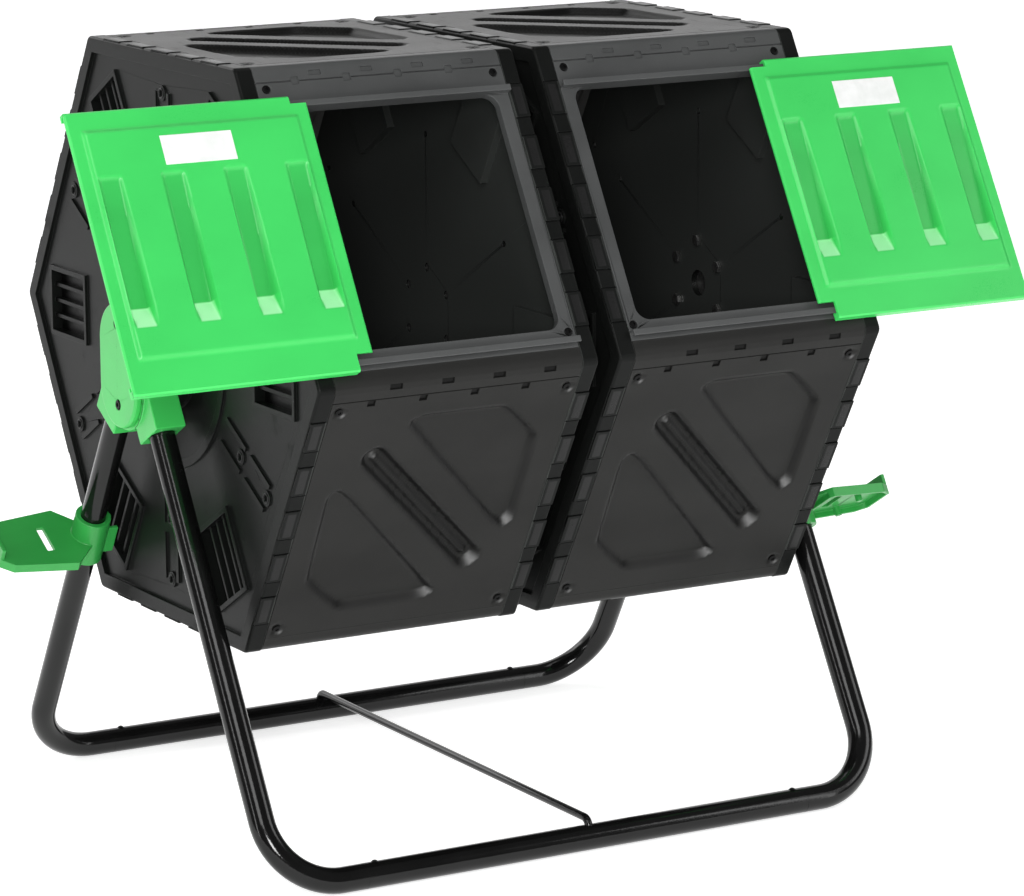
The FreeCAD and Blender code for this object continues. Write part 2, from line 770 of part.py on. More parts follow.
def cut_door_notches(body, inner):
    """The notches in the two corners of a door that face the drum's middle."""
    notches = new_sketch(body, "XY_Plane", "Notches", apothem + 40)
    half = dims.door_half_length
    x_low, x_high = sorted(((half - 18).value * inner, (half + 1).value * inner))
    draw_outline(notches, box_points(x_low, x_high, 118, 130))
    draw_outline(notches, box_points(x_low, x_high, -152, -132))
    pocket(body, notches, 60)


def add_label(chamber, placement, surface):
    """The blank label plate on a door."""
    label = doc.addObject("Part::Box", f"{chamber}_door_label")
    label.Label = label.Name
    bind(label, "Length", 73)
    bind(label, "Width", 29)
    bind(label, "Height", 0.5)
    label.Placement = placement.multiply(
        Placement(Vector(-36.5, 67, surface.value), Rotation()))
    nodes[label.Name] = label


# ---- stand --------------------------------------------------------------------------------

def leg_placement(way):
    """Frame of a leg: x across the stand, z up the leg, with y 0 in the leg's own plane."""
    foot = Vector(0, dims.rail_half_depth.value * way, dims.tube_radius.value)
    return Placement(foot, Rotation(Vector(1, 0, 0), leg_lean * way))


def leg(name, side, way):
    """A leg tube that bends into the floor rail."""
    body = new_body(name, leg_placement(way))
    plane = dims.leg_plane.value * side
    bend = dims.floor_bend.value
    top = leg_length - dims.leg_top_gap.value
    stub = dims.rail_half_length.value * side
    path = body.newObject("Sketcher::SketchObject", "CentreLine")
    path.AttachmentSupport = [(origin_item(body, "XZ_Plane"), "")]
    path.MapMode = "FlatFace"
    corner = Vector(plane - bend * side, 0, 0)
    centre = Vector(corner.x, bend, 0)
    start = Vector(plane, bend, 0)
    halfway = centre + Vector(side * bend * math.sqrt(0.5), -bend * math.sqrt(0.5), 0)
    path.addGeometry(Part.LineSegment(Vector(plane, top, 0), start), False)
    path.addGeometry(Part.Arc(start, halfway, corner), False)
    path.addGeometry(Part.LineSegment(corner, Vector(stub, 0, 0)), False)
    section = new_sketch(body, "XY_Plane", "TubeSection", top)
    draw_circle(section, dims.leg_plane * side, 0, dims.tube_radius)
    draw_circle(section, dims.leg_plane * side, 0, dims.tube_radius - dims.tube_wall)
    tube = body.newObject("PartDesign::AdditivePipe", "Tube")
    tube.Profile = section
    tube.Spine = (path, ["Edge1", "Edge2", "Edge3"])


def floor_rail(name, way):
    """A straight rail whose necked ends plug into the legs' floor bends."""
    place = Vector(0, dims.rail_half_depth.value * way, dims.tube_radius.value)
    body = new_body(name, Placement(place, Rotation()))
    half = dims.rail_half_length - 0.1
    plug = dims.tube_radius - dims.tube_wall - 0.1
    bore = plug - dims.tube_wall
    tube = new_sketch(body, "YZ_Plane", "Tube")
    draw_circle(tube, 0, 0, dims.tube_radius)
    draw_circle(tube, 0, 0, bore)
    pad(body, tube, half * 2, both_ways=True)
    necks = new_sketch(body, "YZ_Plane", "Necks")
    draw_circle(necks, 0, 0, plug)
    draw_circle(necks, 0, 0, bore)
    pad(body, necks, (half + 20) * 2, both_ways=True)
    rod_hole = new_sketch(body, "XY_Plane", "RodHole", dims.tube_radius + 1)
    draw_circle(rod_hole, 0, 0, dims.rod_radius + 0.15)
    pocket(body, rod_hole, 9)


def spacer_rod():
    """The thin rod that ties the front rail to the back rail, its ends turned down."""
    body = new_body("spacer_rod", Placement())
    reach = dims.rail_half_depth.value
    height = dims.rod_height.value
    turn = 9.0
    low = dims.tube_radius.value * 2 - 6
    path = body.newObject("Sketcher::SketchObject", "CentreLine")
    path.AttachmentSupport = [(origin_item(body, "YZ_Plane"), "")]
    path.MapMode = "FlatFace"
    slant = turn * math.sqrt(0.5)

    def bend(way):
        """The quarter turn from the upright end to the level run."""
        centre = Vector((reach - turn) * way, height - turn, 0)
        return (Vector(reach * way, height - turn, 0),
                centre + Vector(slant * way, slant, 0),
                Vector((reach - turn) * way, height, 0))

    front = bend(-1)
    back = bend(1)
    path.addGeometry(Part.LineSegment(Vector(-reach, low, 0), front[0]), False)
    path.addGeometry(Part.Arc(*front), False)
    path.addGeometry(Part.LineSegment(front[2], back[2]), False)
    path.addGeometry(Part.Arc(back[2], back[1], back[0]), False)
    path.addGeometry(Part.LineSegment(back[0], Vector(reach, low, 0)), False)
    section = new_sketch(body, "XY_Plane", "RodSection", low)
    draw_circle(section, 0, -dims.rail_half_depth, dims.rod_radius)
    rod = body.newObject("PartDesign::AdditivePipe", "Rod")
    rod.Profile = section
    rod.Spine = (path, [f"Edge{index}" for index in range(1, 6)])


def rail_screws():
    """Button-head screws that lock the rails into the bends, and mark the rods' ends."""
    radius = 3.4
    solids = []
    for way in (-1, 1):
        for side in (-1, 1):
            x = side * (dims.rail_half_length.value - 12)
            base = Vector(x, dims.rail_half_depth.value * way, dims.tube_radius.value * 2 + 0.02)
            head = Part.makeCone(radius, radius * 0.6, 1.4, base)
            socket = Part.makeCylinder(1.3, 1, base + Vector(0, 0, 0.7))
            solids.append(head.cut(socket))
    add_group("rail_screws", solids)


def leg_box(body, name, way, **box):
    """An additive box aligned with a leg, measured from the axle."""
    turn = Rotation(Vector(1, 0, 0), leg_lean * way)
    corner = turn.multVec(Vector(box["x"], -box["across"] / 2, -box["far"]))
    return solid(body, "AdditiveBox", name, Placement(corner, turn),
                 Length=box["depth"], Width=box["across"], Height=box["far"] - box["near"])


def hub(chamber, side):
    """A hub housing: rounded plate, two leg sockets, and the bores for the legs and bushing."""
    body = new_body(f"{chamber}_hub_housing", Placement(axle, Rotation()))
    inner = dims.hub_inner * side
    thickness = dims.hub_outer - dims.hub_inner
    plate = new_sketch(body, "YZ_Plane", "Plate", inner)
    half = dims.hub_radius
    draw_outline(plate, box_points(-half, half, -dims.hub_drop - half, half))
    pad(body, plate, thickness, reverse=side < 0)
    along = Vector(1, 0, 0)
    round_edges(body, "RoundEnds", half - 1, lambda edge: runs_along(edge, along))
    start = min(dims.hub_inner.value * side, dims.hub_outer.value * side)
    for way, label in ((-1, "Front"), (1, "Back")):
        leg_box(body, f"{label}Socket", way, x=start + 1, depth=thickness.value - 2,
                across=44, near=50, far=98)
    for way, label in ((-1, "Front"), (1, "Back")):
        turn = Rotation(Vector(1, 0, 0), leg_lean * way)
        low = turn.multVec(Vector(dims.leg_plane.value * side, 0, -110))
        solid(body, "SubtractiveCylinder", f"{label}Bore", Placement(low, turn),
              Radius=dims.tube_radius + 0.15, Height=Size(110) - dims.leg_top_gap + 0.3)
    bore = new_sketch(body, "YZ_Plane", "BushSeat", (dims.hub_inner - 1) * side)
    draw_circle(bore, 0, 0, dims.shaft_radius + dims.bush_wall + 0.05)
    pocket(body, bore, thickness + 2, reverse=side > 0)
    return body


def bushing(chamber, side):
    """The plain bearing that an axle stub turns in."""
    body = new_body(f"{chamber}_bushing", Placement(axle, Rotation()))
    ring = new_sketch(body, "YZ_Plane", "Ring", (dims.hub_inner + 0.5) * side)
    draw_circle(ring, 0, 0, dims.shaft_radius + dims.bush_wall)
    draw_circle(ring, 0, 0, dims.shaft_radius + dims.shaft_play)
    pad(body, ring, dims.hub_outer - dims.hub_inner - 1, reverse=side < 0)


def hub_cover(chamber, side):
    """The rounded cover plate on the outboard side of a hub, with its two screws."""
    body = new_body(f"{chamber}_hub_cover", Placement(axle, Rotation()))
    plate = new_sketch(body, "YZ_Plane", "Plate", (dims.hub_outer + 0.3) * side)
    half = dims.hub_radius - 3
    draw_outline(plate, box_points(-half, half, -dims.hub_drop - half, half))
    pad(body, plate, 7, reverse=side < 0)
    along = Vector(1, 0, 0)
    round_edges(body, "RoundEnds", half - 1, lambda edge: runs_along(edge, along))
    outer = (dims.hub_outer + 7.3).value
    round_edges(body, "OuterEdge", 3, lambda edge: abs(abs(middle_of(edge).x) - outer) < 0.01)
    seats = new_sketch(body, "YZ_Plane", "ScrewSeats", (dims.hub_outer + 7.3) * side)
    for z in (20, -60):
        draw_circle(seats, 0, z, 5.5)
    pocket(body, seats, 2, reverse=side < 0)
    solids = []
    for z in (20, -60):
        base = Vector((outer - 1.95) * side, 0, axle.z + z)
        head = Part.makeCylinder(5, 2.6, base, Vector(side, 0, 0))
        socket = Part.makeCylinder(1.8, 2, base + Vector(side * 1.2, 0, 0), Vector(side, 0, 0))
        solids.append(head.cut(socket))
    add_group(f"{chamber}_hub_screws", solids)


# ---- lock levers --------------------------------------------------------------------------

def lever_placement(side):
    """Frame of a lever: z up its leg, x outboard. The right one is the left one turned half round."""
    way = -side
    turn = Rotation(Vector(1, 0, 0), leg_lean * way)
    centre = turn.multVec(Vector(dims.leg_plane.value * side, 0, -dims.lever_drop.value)) + axle
    outboard = Rotation(Vector(0, 0, 1), 0 if side > 0 else 180)
    return Placement(centre, turn.multiply(outboard))


def lock_lever(chamber, side):
    """A lock lever: a sleeve on the leg, an outboard tongue and an inboard catch."""
    body = new_body(f"{chamber}_lock_lever", lever_placement(side))
    sleeve_height = 52
    sleeve = new_sketch(body, "XY_Plane", "Sleeve", -sleeve_height / 2)
    draw_circle(sleeve, 0, 0, dims.tube_radius + 5.5)
    pad(body, sleeve, sleeve_height)
    reach = dims.lever_reach
    tongue = new_sketch(body, "XY_Plane", "Tongue", -2)
    draw_outline(tongue, [(0, -14), (26, -40), (reach - 12, -32), (reach, -22),
                          (reach, 22), (reach - 12, 32), (26, 40), (0, 14)])
    pad(body, tongue, 4)
    border = new_sketch(body, "XY_Plane", "TongueRim", -8)
    draw_outline(border, [(22, -36), (26, -40), (reach - 12, -32), (reach, -22),
                          (reach, 22), (reach - 12, 32), (26, 40), (22, 36)])
    draw_outline(border, [(25, -34), (27, -36.5), (reach - 14, -28.8), (reach - 3, -20),
                          (reach - 3, 20), (reach - 14, 28.8), (27, 36.5), (25, 34)])
    pad(body, border, 7)
    tip = new_sketch(body, "XY_Plane", "UpturnedTip", 1)
    draw_outline(tip, box_points(reach - 4, reach, -22, 22))
    pad(body, tip, 13)
    slot = new_sketch(body, "XY_Plane", "Slot", 4)
    draw_outline(slot, box_points(44, 52, -17, 17))
    pocket(body, slot, 12)
    pegs = new_sketch(body, "XY_Plane", "Pegs", -12)
    for y in (-22, 22):
        draw_circle(pegs, 66, y, 3.5)
    pad(body, pegs, 11)
    catch = new_sketch(body, "XY_Plane", "Catch", -16)
    draw_outline(catch, box_points(-25, 0, -11, 11))
    pad(body, catch, 32)
    hollow = new_sketch(body, "XY_Plane", "CatchHollow", 17)
    draw_outline(hollow, box_points(-26, -16, -7.5, 7.5))
    pocket(body, hollow, 34)
    bore = new_sketch(body, "XY_Plane", "Bore", 30)
    draw_circle(bore, 0, 0, dims.tube_radius + 0.05)
    pocket(body, bore, 60)
    lever_screw(chamber, body.Placement)


def lever_screw(chamber, placement):
    """The screw in the hollow of the catch."""
    head = Part.makeCylinder(4, 3, Vector(-16.1, 0, 0), Vector(-1, 0, 0))
    socket = Part.makeCylinder(1.8, 2, Vector(-17.6, 0, 0), Vector(-1, 0, 0))
    add_group(f"{chamber}_lever_screw", [head.cut(socket)], placement)


# ---- the whole tumbler --------------------------------------------------------------------

for chamber_name, chamber_side in CHAMBERS:
    for face_angle in SIDE_FACES:
        side_panel(chamber_name, chamber_side, face_angle)
    door_frame(chamber_name, chamber_side)
    screw_group(chamber_name, chamber_side)
    end_panel(chamber_name, "outer", drum_end * chamber_side, chamber_side, True)
    end_panel(chamber_name, "inner", dims.chamber_gap / 2 * chamber_side, -chamber_side, False)
    axle_stub(chamber_name, chamber_side)
    door(chamber_name, chamber_side)
    hub(chamber_name, chamber_side)
    bushing(chamber_name, chamber_side)
    hub_cover(chamber_name, chamber_side)
    lock_lever(chamber_name, chamber_side)
    leg(f"front_{chamber_name}_leg", chamber_side, -1)
    leg(f"back_{chamber_name}_leg", chamber_side, 1)
coupling()
floor_rail("front_floor_rail", -1)
floor_rail("back_floor_rail", 1)
spacer_rod()
rail_screws()

doc.recompute()
for item in doc.Objects:
    if "Invalid" in item.State or "Error" in item.State:
        raise RuntimeError(f"{item.Label} has failed: {item.State}")
os.makedirs("parts", exist_ok=True)
for node, item in nodes.items():
    shape = item.Shape
    if shape.isNull() or not shape.isValid():
        raise RuntimeError(f"{node} has no valid shape")
    shape.exportStep(f"parts/{node}.step")
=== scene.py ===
"""Looks, finishes and studio of a twin-chamber compost tumbler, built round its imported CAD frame."""

import json
import logging
import math
from dataclasses import dataclass, field
from enum import Enum
from typing import Sequence

import bmesh
import bpy
from mathutils import Matrix, Vector
from mathutils.bvhtree import BVHTree

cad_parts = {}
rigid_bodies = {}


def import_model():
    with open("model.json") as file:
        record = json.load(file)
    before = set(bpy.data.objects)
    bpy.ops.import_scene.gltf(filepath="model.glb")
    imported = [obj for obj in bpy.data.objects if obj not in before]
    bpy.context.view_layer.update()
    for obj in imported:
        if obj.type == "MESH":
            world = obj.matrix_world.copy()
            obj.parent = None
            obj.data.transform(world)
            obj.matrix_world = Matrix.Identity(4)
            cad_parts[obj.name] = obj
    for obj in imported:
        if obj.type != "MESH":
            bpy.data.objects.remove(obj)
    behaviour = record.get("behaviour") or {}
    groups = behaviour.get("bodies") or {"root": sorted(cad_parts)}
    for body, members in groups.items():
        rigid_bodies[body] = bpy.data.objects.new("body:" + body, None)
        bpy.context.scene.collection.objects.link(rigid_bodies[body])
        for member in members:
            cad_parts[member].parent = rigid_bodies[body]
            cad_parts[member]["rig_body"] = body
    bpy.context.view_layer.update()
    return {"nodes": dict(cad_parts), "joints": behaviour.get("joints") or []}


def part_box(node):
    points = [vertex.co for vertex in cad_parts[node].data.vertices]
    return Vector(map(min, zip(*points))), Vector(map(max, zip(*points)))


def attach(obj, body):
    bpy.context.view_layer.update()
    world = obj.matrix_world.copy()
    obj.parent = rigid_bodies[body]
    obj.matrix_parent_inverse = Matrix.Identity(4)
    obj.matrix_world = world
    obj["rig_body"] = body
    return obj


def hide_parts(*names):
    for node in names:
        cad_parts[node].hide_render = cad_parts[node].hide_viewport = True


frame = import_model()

LOG = logging.getLogger("compost_tumbler")
AXLE = Vector(next(joint["pos_m"] for joint in frame["joints"] if joint["name"] == "drum_turn"))
FACES = 6
FACE_TURN = 360 / FACES
DOOR_ANGLE = 150
CREASE = 32.0
WELD = 1e-5
CAD_TAB_RISE = 0.0008


class Side(Enum):
    """The two chambers, by the sign of their X."""

    LEFT = -1
    RIGHT = 1

    @property
    def label(self) -> str:
        """The side's name as the CAD nodes spell it."""
        return self.name.lower()


class Way(Enum):
    """The two halves of the stand, by the sign of their Y."""

    FRONT = -1
    BACK = 1

    @property
    def label(self) -> str:
        """The half's name as the CAD nodes spell it."""
        return self.name.lower()


class Turn(Enum):
    """How strongly a copied part's edges are rounded, in metres."""

    CRISP = 0.0003
    FINE = 0.0005
    MOULDED = 0.0009
    SOFT = 0.0015


# ---- shader maths -------------------------------------------------------------------------


class Wire:
    """A shader socket that can be used in Python sums."""

    def __init__(self, graph: "Graph", socket: bpy.types.NodeSocket) -> None:
        """Keep the graph and the socket."""
        self.graph = graph
        self.socket = socket

    def _math(self, operation: str, *terms: "Wire | float") -> "Wire":
        """Join terms through one Math node.

        Args:
            operation: The Math node's operation.
            terms: Values or wires for its sockets, in order.

        Returns:
            The node's result.
        """
        return self.graph.node("ShaderNodeMath", {"operation": operation}, dict(enumerate(terms)))

    def __add__(self, other: "Wire | float") -> "Wire":
        """Sum."""
        return self._math("ADD", self, other)

    def __sub__(self, other: "Wire | float") -> "Wire":
        """Difference."""
        return self._math("SUBTRACT", self, other)

    def __rsub__(self, other: float) -> "Wire":
        """Difference from a plain number."""
        return self._math("SUBTRACT", other, self)

    def __mul__(self, other: "Wire | float") -> "Wire":
        """Product."""
        return self._math("MULTIPLY", self, other)

    __radd__ = __add__
    __rmul__ = __mul__

    def above(self, low: float, high: float) -> "Wire":
        """A smooth step from 0 at low to 1 at high.

        Args:
            low: Value where the step starts.
            high: Value where it is complete.

        Returns:
            The stepped value.
        """
        settings = {"interpolation_type": "SMOOTHSTEP"}
        return self.graph.node("ShaderNodeMapRange", settings, {0: self, 1: low, 2: high})


class Graph:
    """The node tree of one material."""

    def __init__(self, name: str) -> None:
        """Start a material with an empty tree.

        Args:
            name: The material's name.
        """
        self.material = bpy.data.materials.new(name)
        self.material.use_nodes = True
        self.tree = self.material.node_tree
        self.tree.nodes.clear()
        self.place = self.node("ShaderNodeTexCoord", {}, {}, output="Object")

    def node(self, kind: str, settings: dict, inputs: dict, output: "str | int" = 0) -> Wire:
        """Add one node.

        Args:
            kind: The node's type.
            settings: Properties set first.
            inputs: Values or wires, by socket name or number.
            output: The socket to return.

        Returns:
            The chosen output.
        """
        made = self.tree.nodes.new(kind)
        for name, value in settings.items():
            setattr(made, name, value)
        for key, value in inputs.items():
            socket = made.inputs[key]
            if isinstance(value, Wire):
                self.tree.links.new(value.socket, socket)
            else:
                socket.default_value = value
        return Wire(self, made.outputs[output])

    def noise(self, scale: float, detail: float = 3.0, stretch: Vector = Vector((1, 1, 1))) -> Wire:
        """Noise on the piece's own coordinates.

        Args:
            scale: Cells to the metre.
            detail: Octaves.
            stretch: Scale along each axis.

        Returns:
            The noise value.
        """
        spot = self.node("ShaderNodeMapping", {}, {"Vector": self.place, "Scale": stretch})
        return self.node("ShaderNodeTexNoise", {}, {"Vector": spot, "Scale": scale, "Detail": detail})

    def cells(self, scale: float) -> Wire:
        """Distance to the middle of the nearest cell.

        Args:
            scale: Cells to the metre.

        Returns:
            The distance, in cells.
        """
        return self.node("ShaderNodeTexVoronoi", {}, {"Vector": self.place, "Scale": scale})

    def blend(self, amount: "Wire | float", low: "tuple | Wire", high: "tuple | Wire") -> Wire:
        """Mix two colours.

        Args:
            amount: Share of the second colour.
            low: The colour at 0.
            high: The colour at 1.

        Returns:
            The mixed colour.
        """
        settings = {"data_type": "RGBA", "clamp_factor": True}
        return self.node("ShaderNodeMix", settings, {0: amount, 6: low, 7: high}, output=2)

    def bump(self, height: Wire, distance: float) -> Wire:
        """A normal bent by a height.

        Args:
            height: The height, 0 to 1.
            distance: Metres for a height of 1.

        Returns:
            The normal.
        """
        return self.node("ShaderNodeBump", {}, {"Height": height, "Distance": distance, "Strength": 1.0})

    def edge_wear(self) -> Wire:
        """How far a place stands out as an edge, from 0 on a flat to 1 on a sharp ridge."""
        point = self.node("ShaderNodeNewGeometry", {}, {}, output="Pointiness")
        return point.above(0.53, 0.60)

    def mark(self, name: str) -> Wire:
        """A number that the mesh carries, 0 where it carries none."""
        return self.node("ShaderNodeAttribute", {"attribute_name": name}, {}, output="Fac")

    def finish(self, **inputs: "Wire | float | tuple") -> bpy.types.Material:
        """Close the tree with a Principled surface.

        Args:
            inputs: Sockets of the surface, with underscores for spaces.

        Returns:
            The material.
        """
        named = {name.replace("_", " "): value for name, value in inputs.items()}
        surface = self.node("ShaderNodeBsdfPrincipled", {}, named)
        out = self.tree.nodes.new("ShaderNodeOutputMaterial")
        self.tree.links.new(surface.socket, out.inputs["Surface"])
        return self.material


def rgba(colour: tuple[float, float, float], factor: float = 1.0) -> tuple[float, float, float, float]:
    """A colour with full opacity.

    Args:
        colour: Linear red, green and blue.
        factor: Brightness to multiply by.

    Returns:
        Four numbers.
    """
    return (colour[0] * factor, colour[1] * factor, colour[2] * factor, 1.0)


@dataclass(frozen=True)
class MouldedPlastic:
    """Injection-moulded plastic: a fine spark texture, faint flow marks, scuffs and paler edges.

    Meshes may mark places as recess (painted shade, darker), inside (painted light, paler, standing in for
    the light inside the chamber) or glint (painted highlight, lighter).
    """

    name: str
    colour: tuple[float, float, float]
    roughness: float = 0.45
    grain: float = 900.0
    depth: float = 0.00012
    mottle: float = 0.12
    gloss: float = 0.0
    edge_gain: float = 1.6
    shine: float = 0.22
    # The next four set the painted shade in marked recesses, the painted light on the chamber side and the
    # painted highlight's lift.
    recess_share: float = 0.85
    recess_gain: float = 0.12
    inside_gain: float = 6.0
    glint: float = 0.30

    def material(self) -> bpy.types.Material:
        """Build the material."""
        graph = Graph(self.name)
        flow = graph.noise(9, 4, Vector((1.0, 2.2, 1.4)))
        fine = graph.noise(self.grain, 2)
        pits = graph.cells(self.grain * 0.7)
        scuffs = graph.noise(42, 6, Vector((6.0, 0.7, 0.9))).above(0.62, 0.74)
        tone = graph.blend(flow.above(0.3, 0.7), rgba(self.colour, 1 - self.mottle),
                           rgba(self.colour, 1 + self.mottle))
        tone = graph.blend(graph.edge_wear() * 0.6, tone, rgba(self.colour, self.edge_gain))
        # Painted shade where the mesh marks a recess, painted light where it marks the chamber side, painted
        # highlight where it marks a glint.
        tone = graph.blend(graph.mark("recess") * self.recess_share, tone,
                           rgba(self.colour, self.recess_gain))
        tone = graph.blend(graph.mark("inside"), tone, rgba(self.colour, self.inside_gain))
        lit = tuple(min(1.0, channel + self.glint) for channel in self.colour)
        tone = graph.blend(graph.mark("glint"), tone, rgba(lit))
        rough = flow * 0.12 + scuffs * 0.12 + fine * 0.08 + (self.roughness - 0.14)
        skin = graph.bump(fine * 0.6 + pits * 0.4, self.depth)
        return graph.finish(Base_Color=tone, Roughness=rough, Normal=skin, Coat_Weight=self.gloss,
                            Coat_Roughness=0.22, Specular_IOR_Level=self.shine)


@dataclass(frozen=True)
class PowderCoat:
    """Baked gloss coating on steel tube, with its orange peel."""

    name: str
    colour: tuple[float, float, float]
    roughness: float = 0.14

    def material(self) -> bpy.types.Material:
        """Build the material."""
        graph = Graph(self.name)
        peel = graph.noise(420, 2)
        haze = graph.noise(16, 4)
        rubs = graph.noise(60, 5, Vector((0.5, 3.0, 3.0))).above(0.64, 0.76)
        tone = graph.blend(haze.above(0.35, 0.7), rgba(self.colour, 0.8), rgba(self.colour, 1.3))
        rough = haze * 0.1 + rubs * 0.14 + (self.roughness - 0.05)
        return graph.finish(Base_Color=tone, Roughness=rough, Normal=graph.bump(peel, 0.00006),
                            Specular_IOR_Level=0.3, Coat_Weight=0.12, Coat_Roughness=0.1)


@dataclass(frozen=True)
class ZincPlate:
    """Zinc-plated steel with a crystalline bloom."""

    name: str
    colour: tuple[float, float, float] = (0.56, 0.56, 0.55)
    roughness: float = 0.34

    def material(self) -> bpy.types.Material:
        """Build the material."""
        graph = Graph(self.name)
        bloom = graph.cells(700)
        stain = graph.noise(180, 4)
        tone = graph.blend(bloom.above(0.1, 0.8), rgba(self.colour, 0.82), rgba(self.colour, 1.1))
        rough = stain * 0.2 + bloom * 0.08 + (self.roughness - 0.1)
        return graph.finish(Base_Color=tone, Roughness=rough, Metallic=1.0,
                            Normal=graph.bump(stain, 0.00004))


@dataclass(frozen=True)
class LabelFilm:
    """Blank white label film with a faint paper tooth."""

    name: str

    def material(self) -> bpy.types.Material:
        """Build the material."""
        graph = Graph(self.name)
        tooth = graph.noise(1500, 3)
        wash = graph.noise(60, 3)
        tone = graph.blend(wash.above(0.3, 0.7), (0.78, 0.80, 0.78, 1), (0.88, 0.89, 0.88, 1))
        return graph.finish(Base_Color=tone, Roughness=tooth * 0.15 + 0.38,
                            Normal=graph.bump(tooth, 0.00003))


@dataclass(frozen=True)
class StudioPaper:
    """Seamless pale studio paper, lit from behind so that it stays white."""

    name: str
    glow: float = 0.66

    def material(self) -> bpy.types.Material:
        """Build the material."""
        graph = Graph(self.name)
        fibre = graph.noise(180, 4)
        tone = graph.blend(fibre, (0.88, 0.88, 0.88, 1), (0.92, 0.92, 0.92, 1))
        return graph.finish(Base_Color=tone, Roughness=0.85, Normal=graph.bump(fibre, 0.0001),
                            Emission_Color=(1.0, 1.0, 1.0, 1.0), Emission_Strength=self.glow)


class Finishes:
    """Every finish of the tumbler, built once."""

    def __init__(self) -> None:
        """Build the materials."""
        self.panel = MouldedPlastic("black_panel_plastic", (0.019, 0.019, 0.0182), 0.38,
                                    shine=0.10).material()
        # The same black plastic as the panels, made paler: painted light on the lit faces of the door frames.
        self.frame = MouldedPlastic("grey_frame_plastic", (0.062, 0.064, 0.064), 0.42).material()
        self.end = MouldedPlastic("black_end_plastic", (0.0065, 0.007, 0.0066), 0.36,
                                  shine=0.09).material()
        self.tab = MouldedPlastic("black_tab_plastic", (0.010, 0.010, 0.010), 0.33).material()
        self.door = MouldedPlastic("green_door_plastic", (0.05, 0.60, 0.115), 0.34, 1100, 0.00005,
                                   0.04, 0.1, 1.25, 0.4).material()
        self.hub = MouldedPlastic("green_hub_plastic", (0.055, 0.56, 0.11), 0.36, 1000, 0.00006,
                                  0.06, 0.1, 1.3, 0.4).material()
        self.lever = MouldedPlastic("dark_green_lever_plastic", (0.03, 0.33, 0.06), 0.38, 1000,
                                    0.00006, 0.06, 0.1, 1.3, 0.4).material()
        self.nylon = MouldedPlastic("bushing_nylon", (0.55, 0.54, 0.5), 0.4).material()
        self.tube = PowderCoat("gloss_black_tube", (0.004, 0.004, 0.004)).material()
        self.zinc = ZincPlate("zinc_plate").material()
        self.black_steel = ZincPlate("black_oxide_steel", (0.018, 0.018, 0.018), 0.42).material()
        self.label = LabelFilm("blank_label_film").material()
        self.paper = StudioPaper("studio_paper").material()


# ---- geometry nodes -----------------------------------------------------------------------


class Recipe:
    """A Geometry Nodes tree with named inputs, which makes a plain mesh."""

    def __init__(self, name: str, inputs: Sequence[tuple[str, str]]) -> None:
        """Start a tree with its sockets.

        Args:
            name: The tree's name.
            inputs: Pairs of input name and socket type, after the geometry.
        """
        self.tree = bpy.data.node_groups.new(name, "GeometryNodeTree")
        sockets = self.tree.interface
        sockets.new_socket("Geometry", in_out="INPUT", socket_type="NodeSocketGeometry")
        self.keys: dict[str, str] = {}
        for label, kind in inputs:
            self.keys[label] = sockets.new_socket(label, in_out="INPUT", socket_type=kind).identifier
        sockets.new_socket("Geometry", in_out="OUTPUT", socket_type="NodeSocketGeometry")
        self.entry = self.tree.nodes.new("NodeGroupInput")

    def given(self, label: str) -> bpy.types.NodeSocket:
        """The socket of one of the tree's inputs."""
        return self.entry.outputs[label]

    def node(self, kind: str, settings: dict, inputs: dict, output: "str | int" = 0) -> bpy.types.NodeSocket:
        """Add one node.

        Args:
            kind: The node's type.
            settings: Properties set first.
            inputs: Values or sockets, by socket name or number.
            output: The socket to return.

        Returns:
            The chosen output.
        """
        made = self.tree.nodes.new(kind)
        for name, value in settings.items():
            setattr(made, name, value)
        for key, value in inputs.items():
            if isinstance(value, bpy.types.NodeSocket):
                self.tree.links.new(value, made.inputs[key])
            else:
                made.inputs[key].default_value = value
        return made.outputs[output]

    def close(self, geometry: bpy.types.NodeSocket) -> None:
        """End the tree with Realize Instances and Set Material.

        Args:
            geometry: What the tree has made.
        """
        plain = self.node("GeometryNodeRealizeInstances", {}, {"Geometry": geometry})
        coloured = self.node("GeometryNodeSetMaterial", {},
                             {"Geometry": plain, "Material": self.given("Finish")})
        out = self.tree.nodes.new("NodeGroupOutput")
        self.tree.links.new(coloured, out.inputs[0])

    def run(self, name: str, mesh: bpy.types.Mesh, **values: object) -> bpy.types.Object:
        """Run the tree over a mesh.

        Args:
            name: The finished piece's name.
            mesh: The mesh that goes in.
            values: The inputs, with underscores for spaces.

        Returns:
            The piece, as a plain mesh.
        """
        piece = new_piece(name, mesh)
        modifier = piece.modifiers.new("Recipe", "NODES")
        modifier.node_group = self.tree
        for label, value in values.items():
            modifier[self.keys[label.replace("_", " ")]] = value
        settle(piece)
        return piece


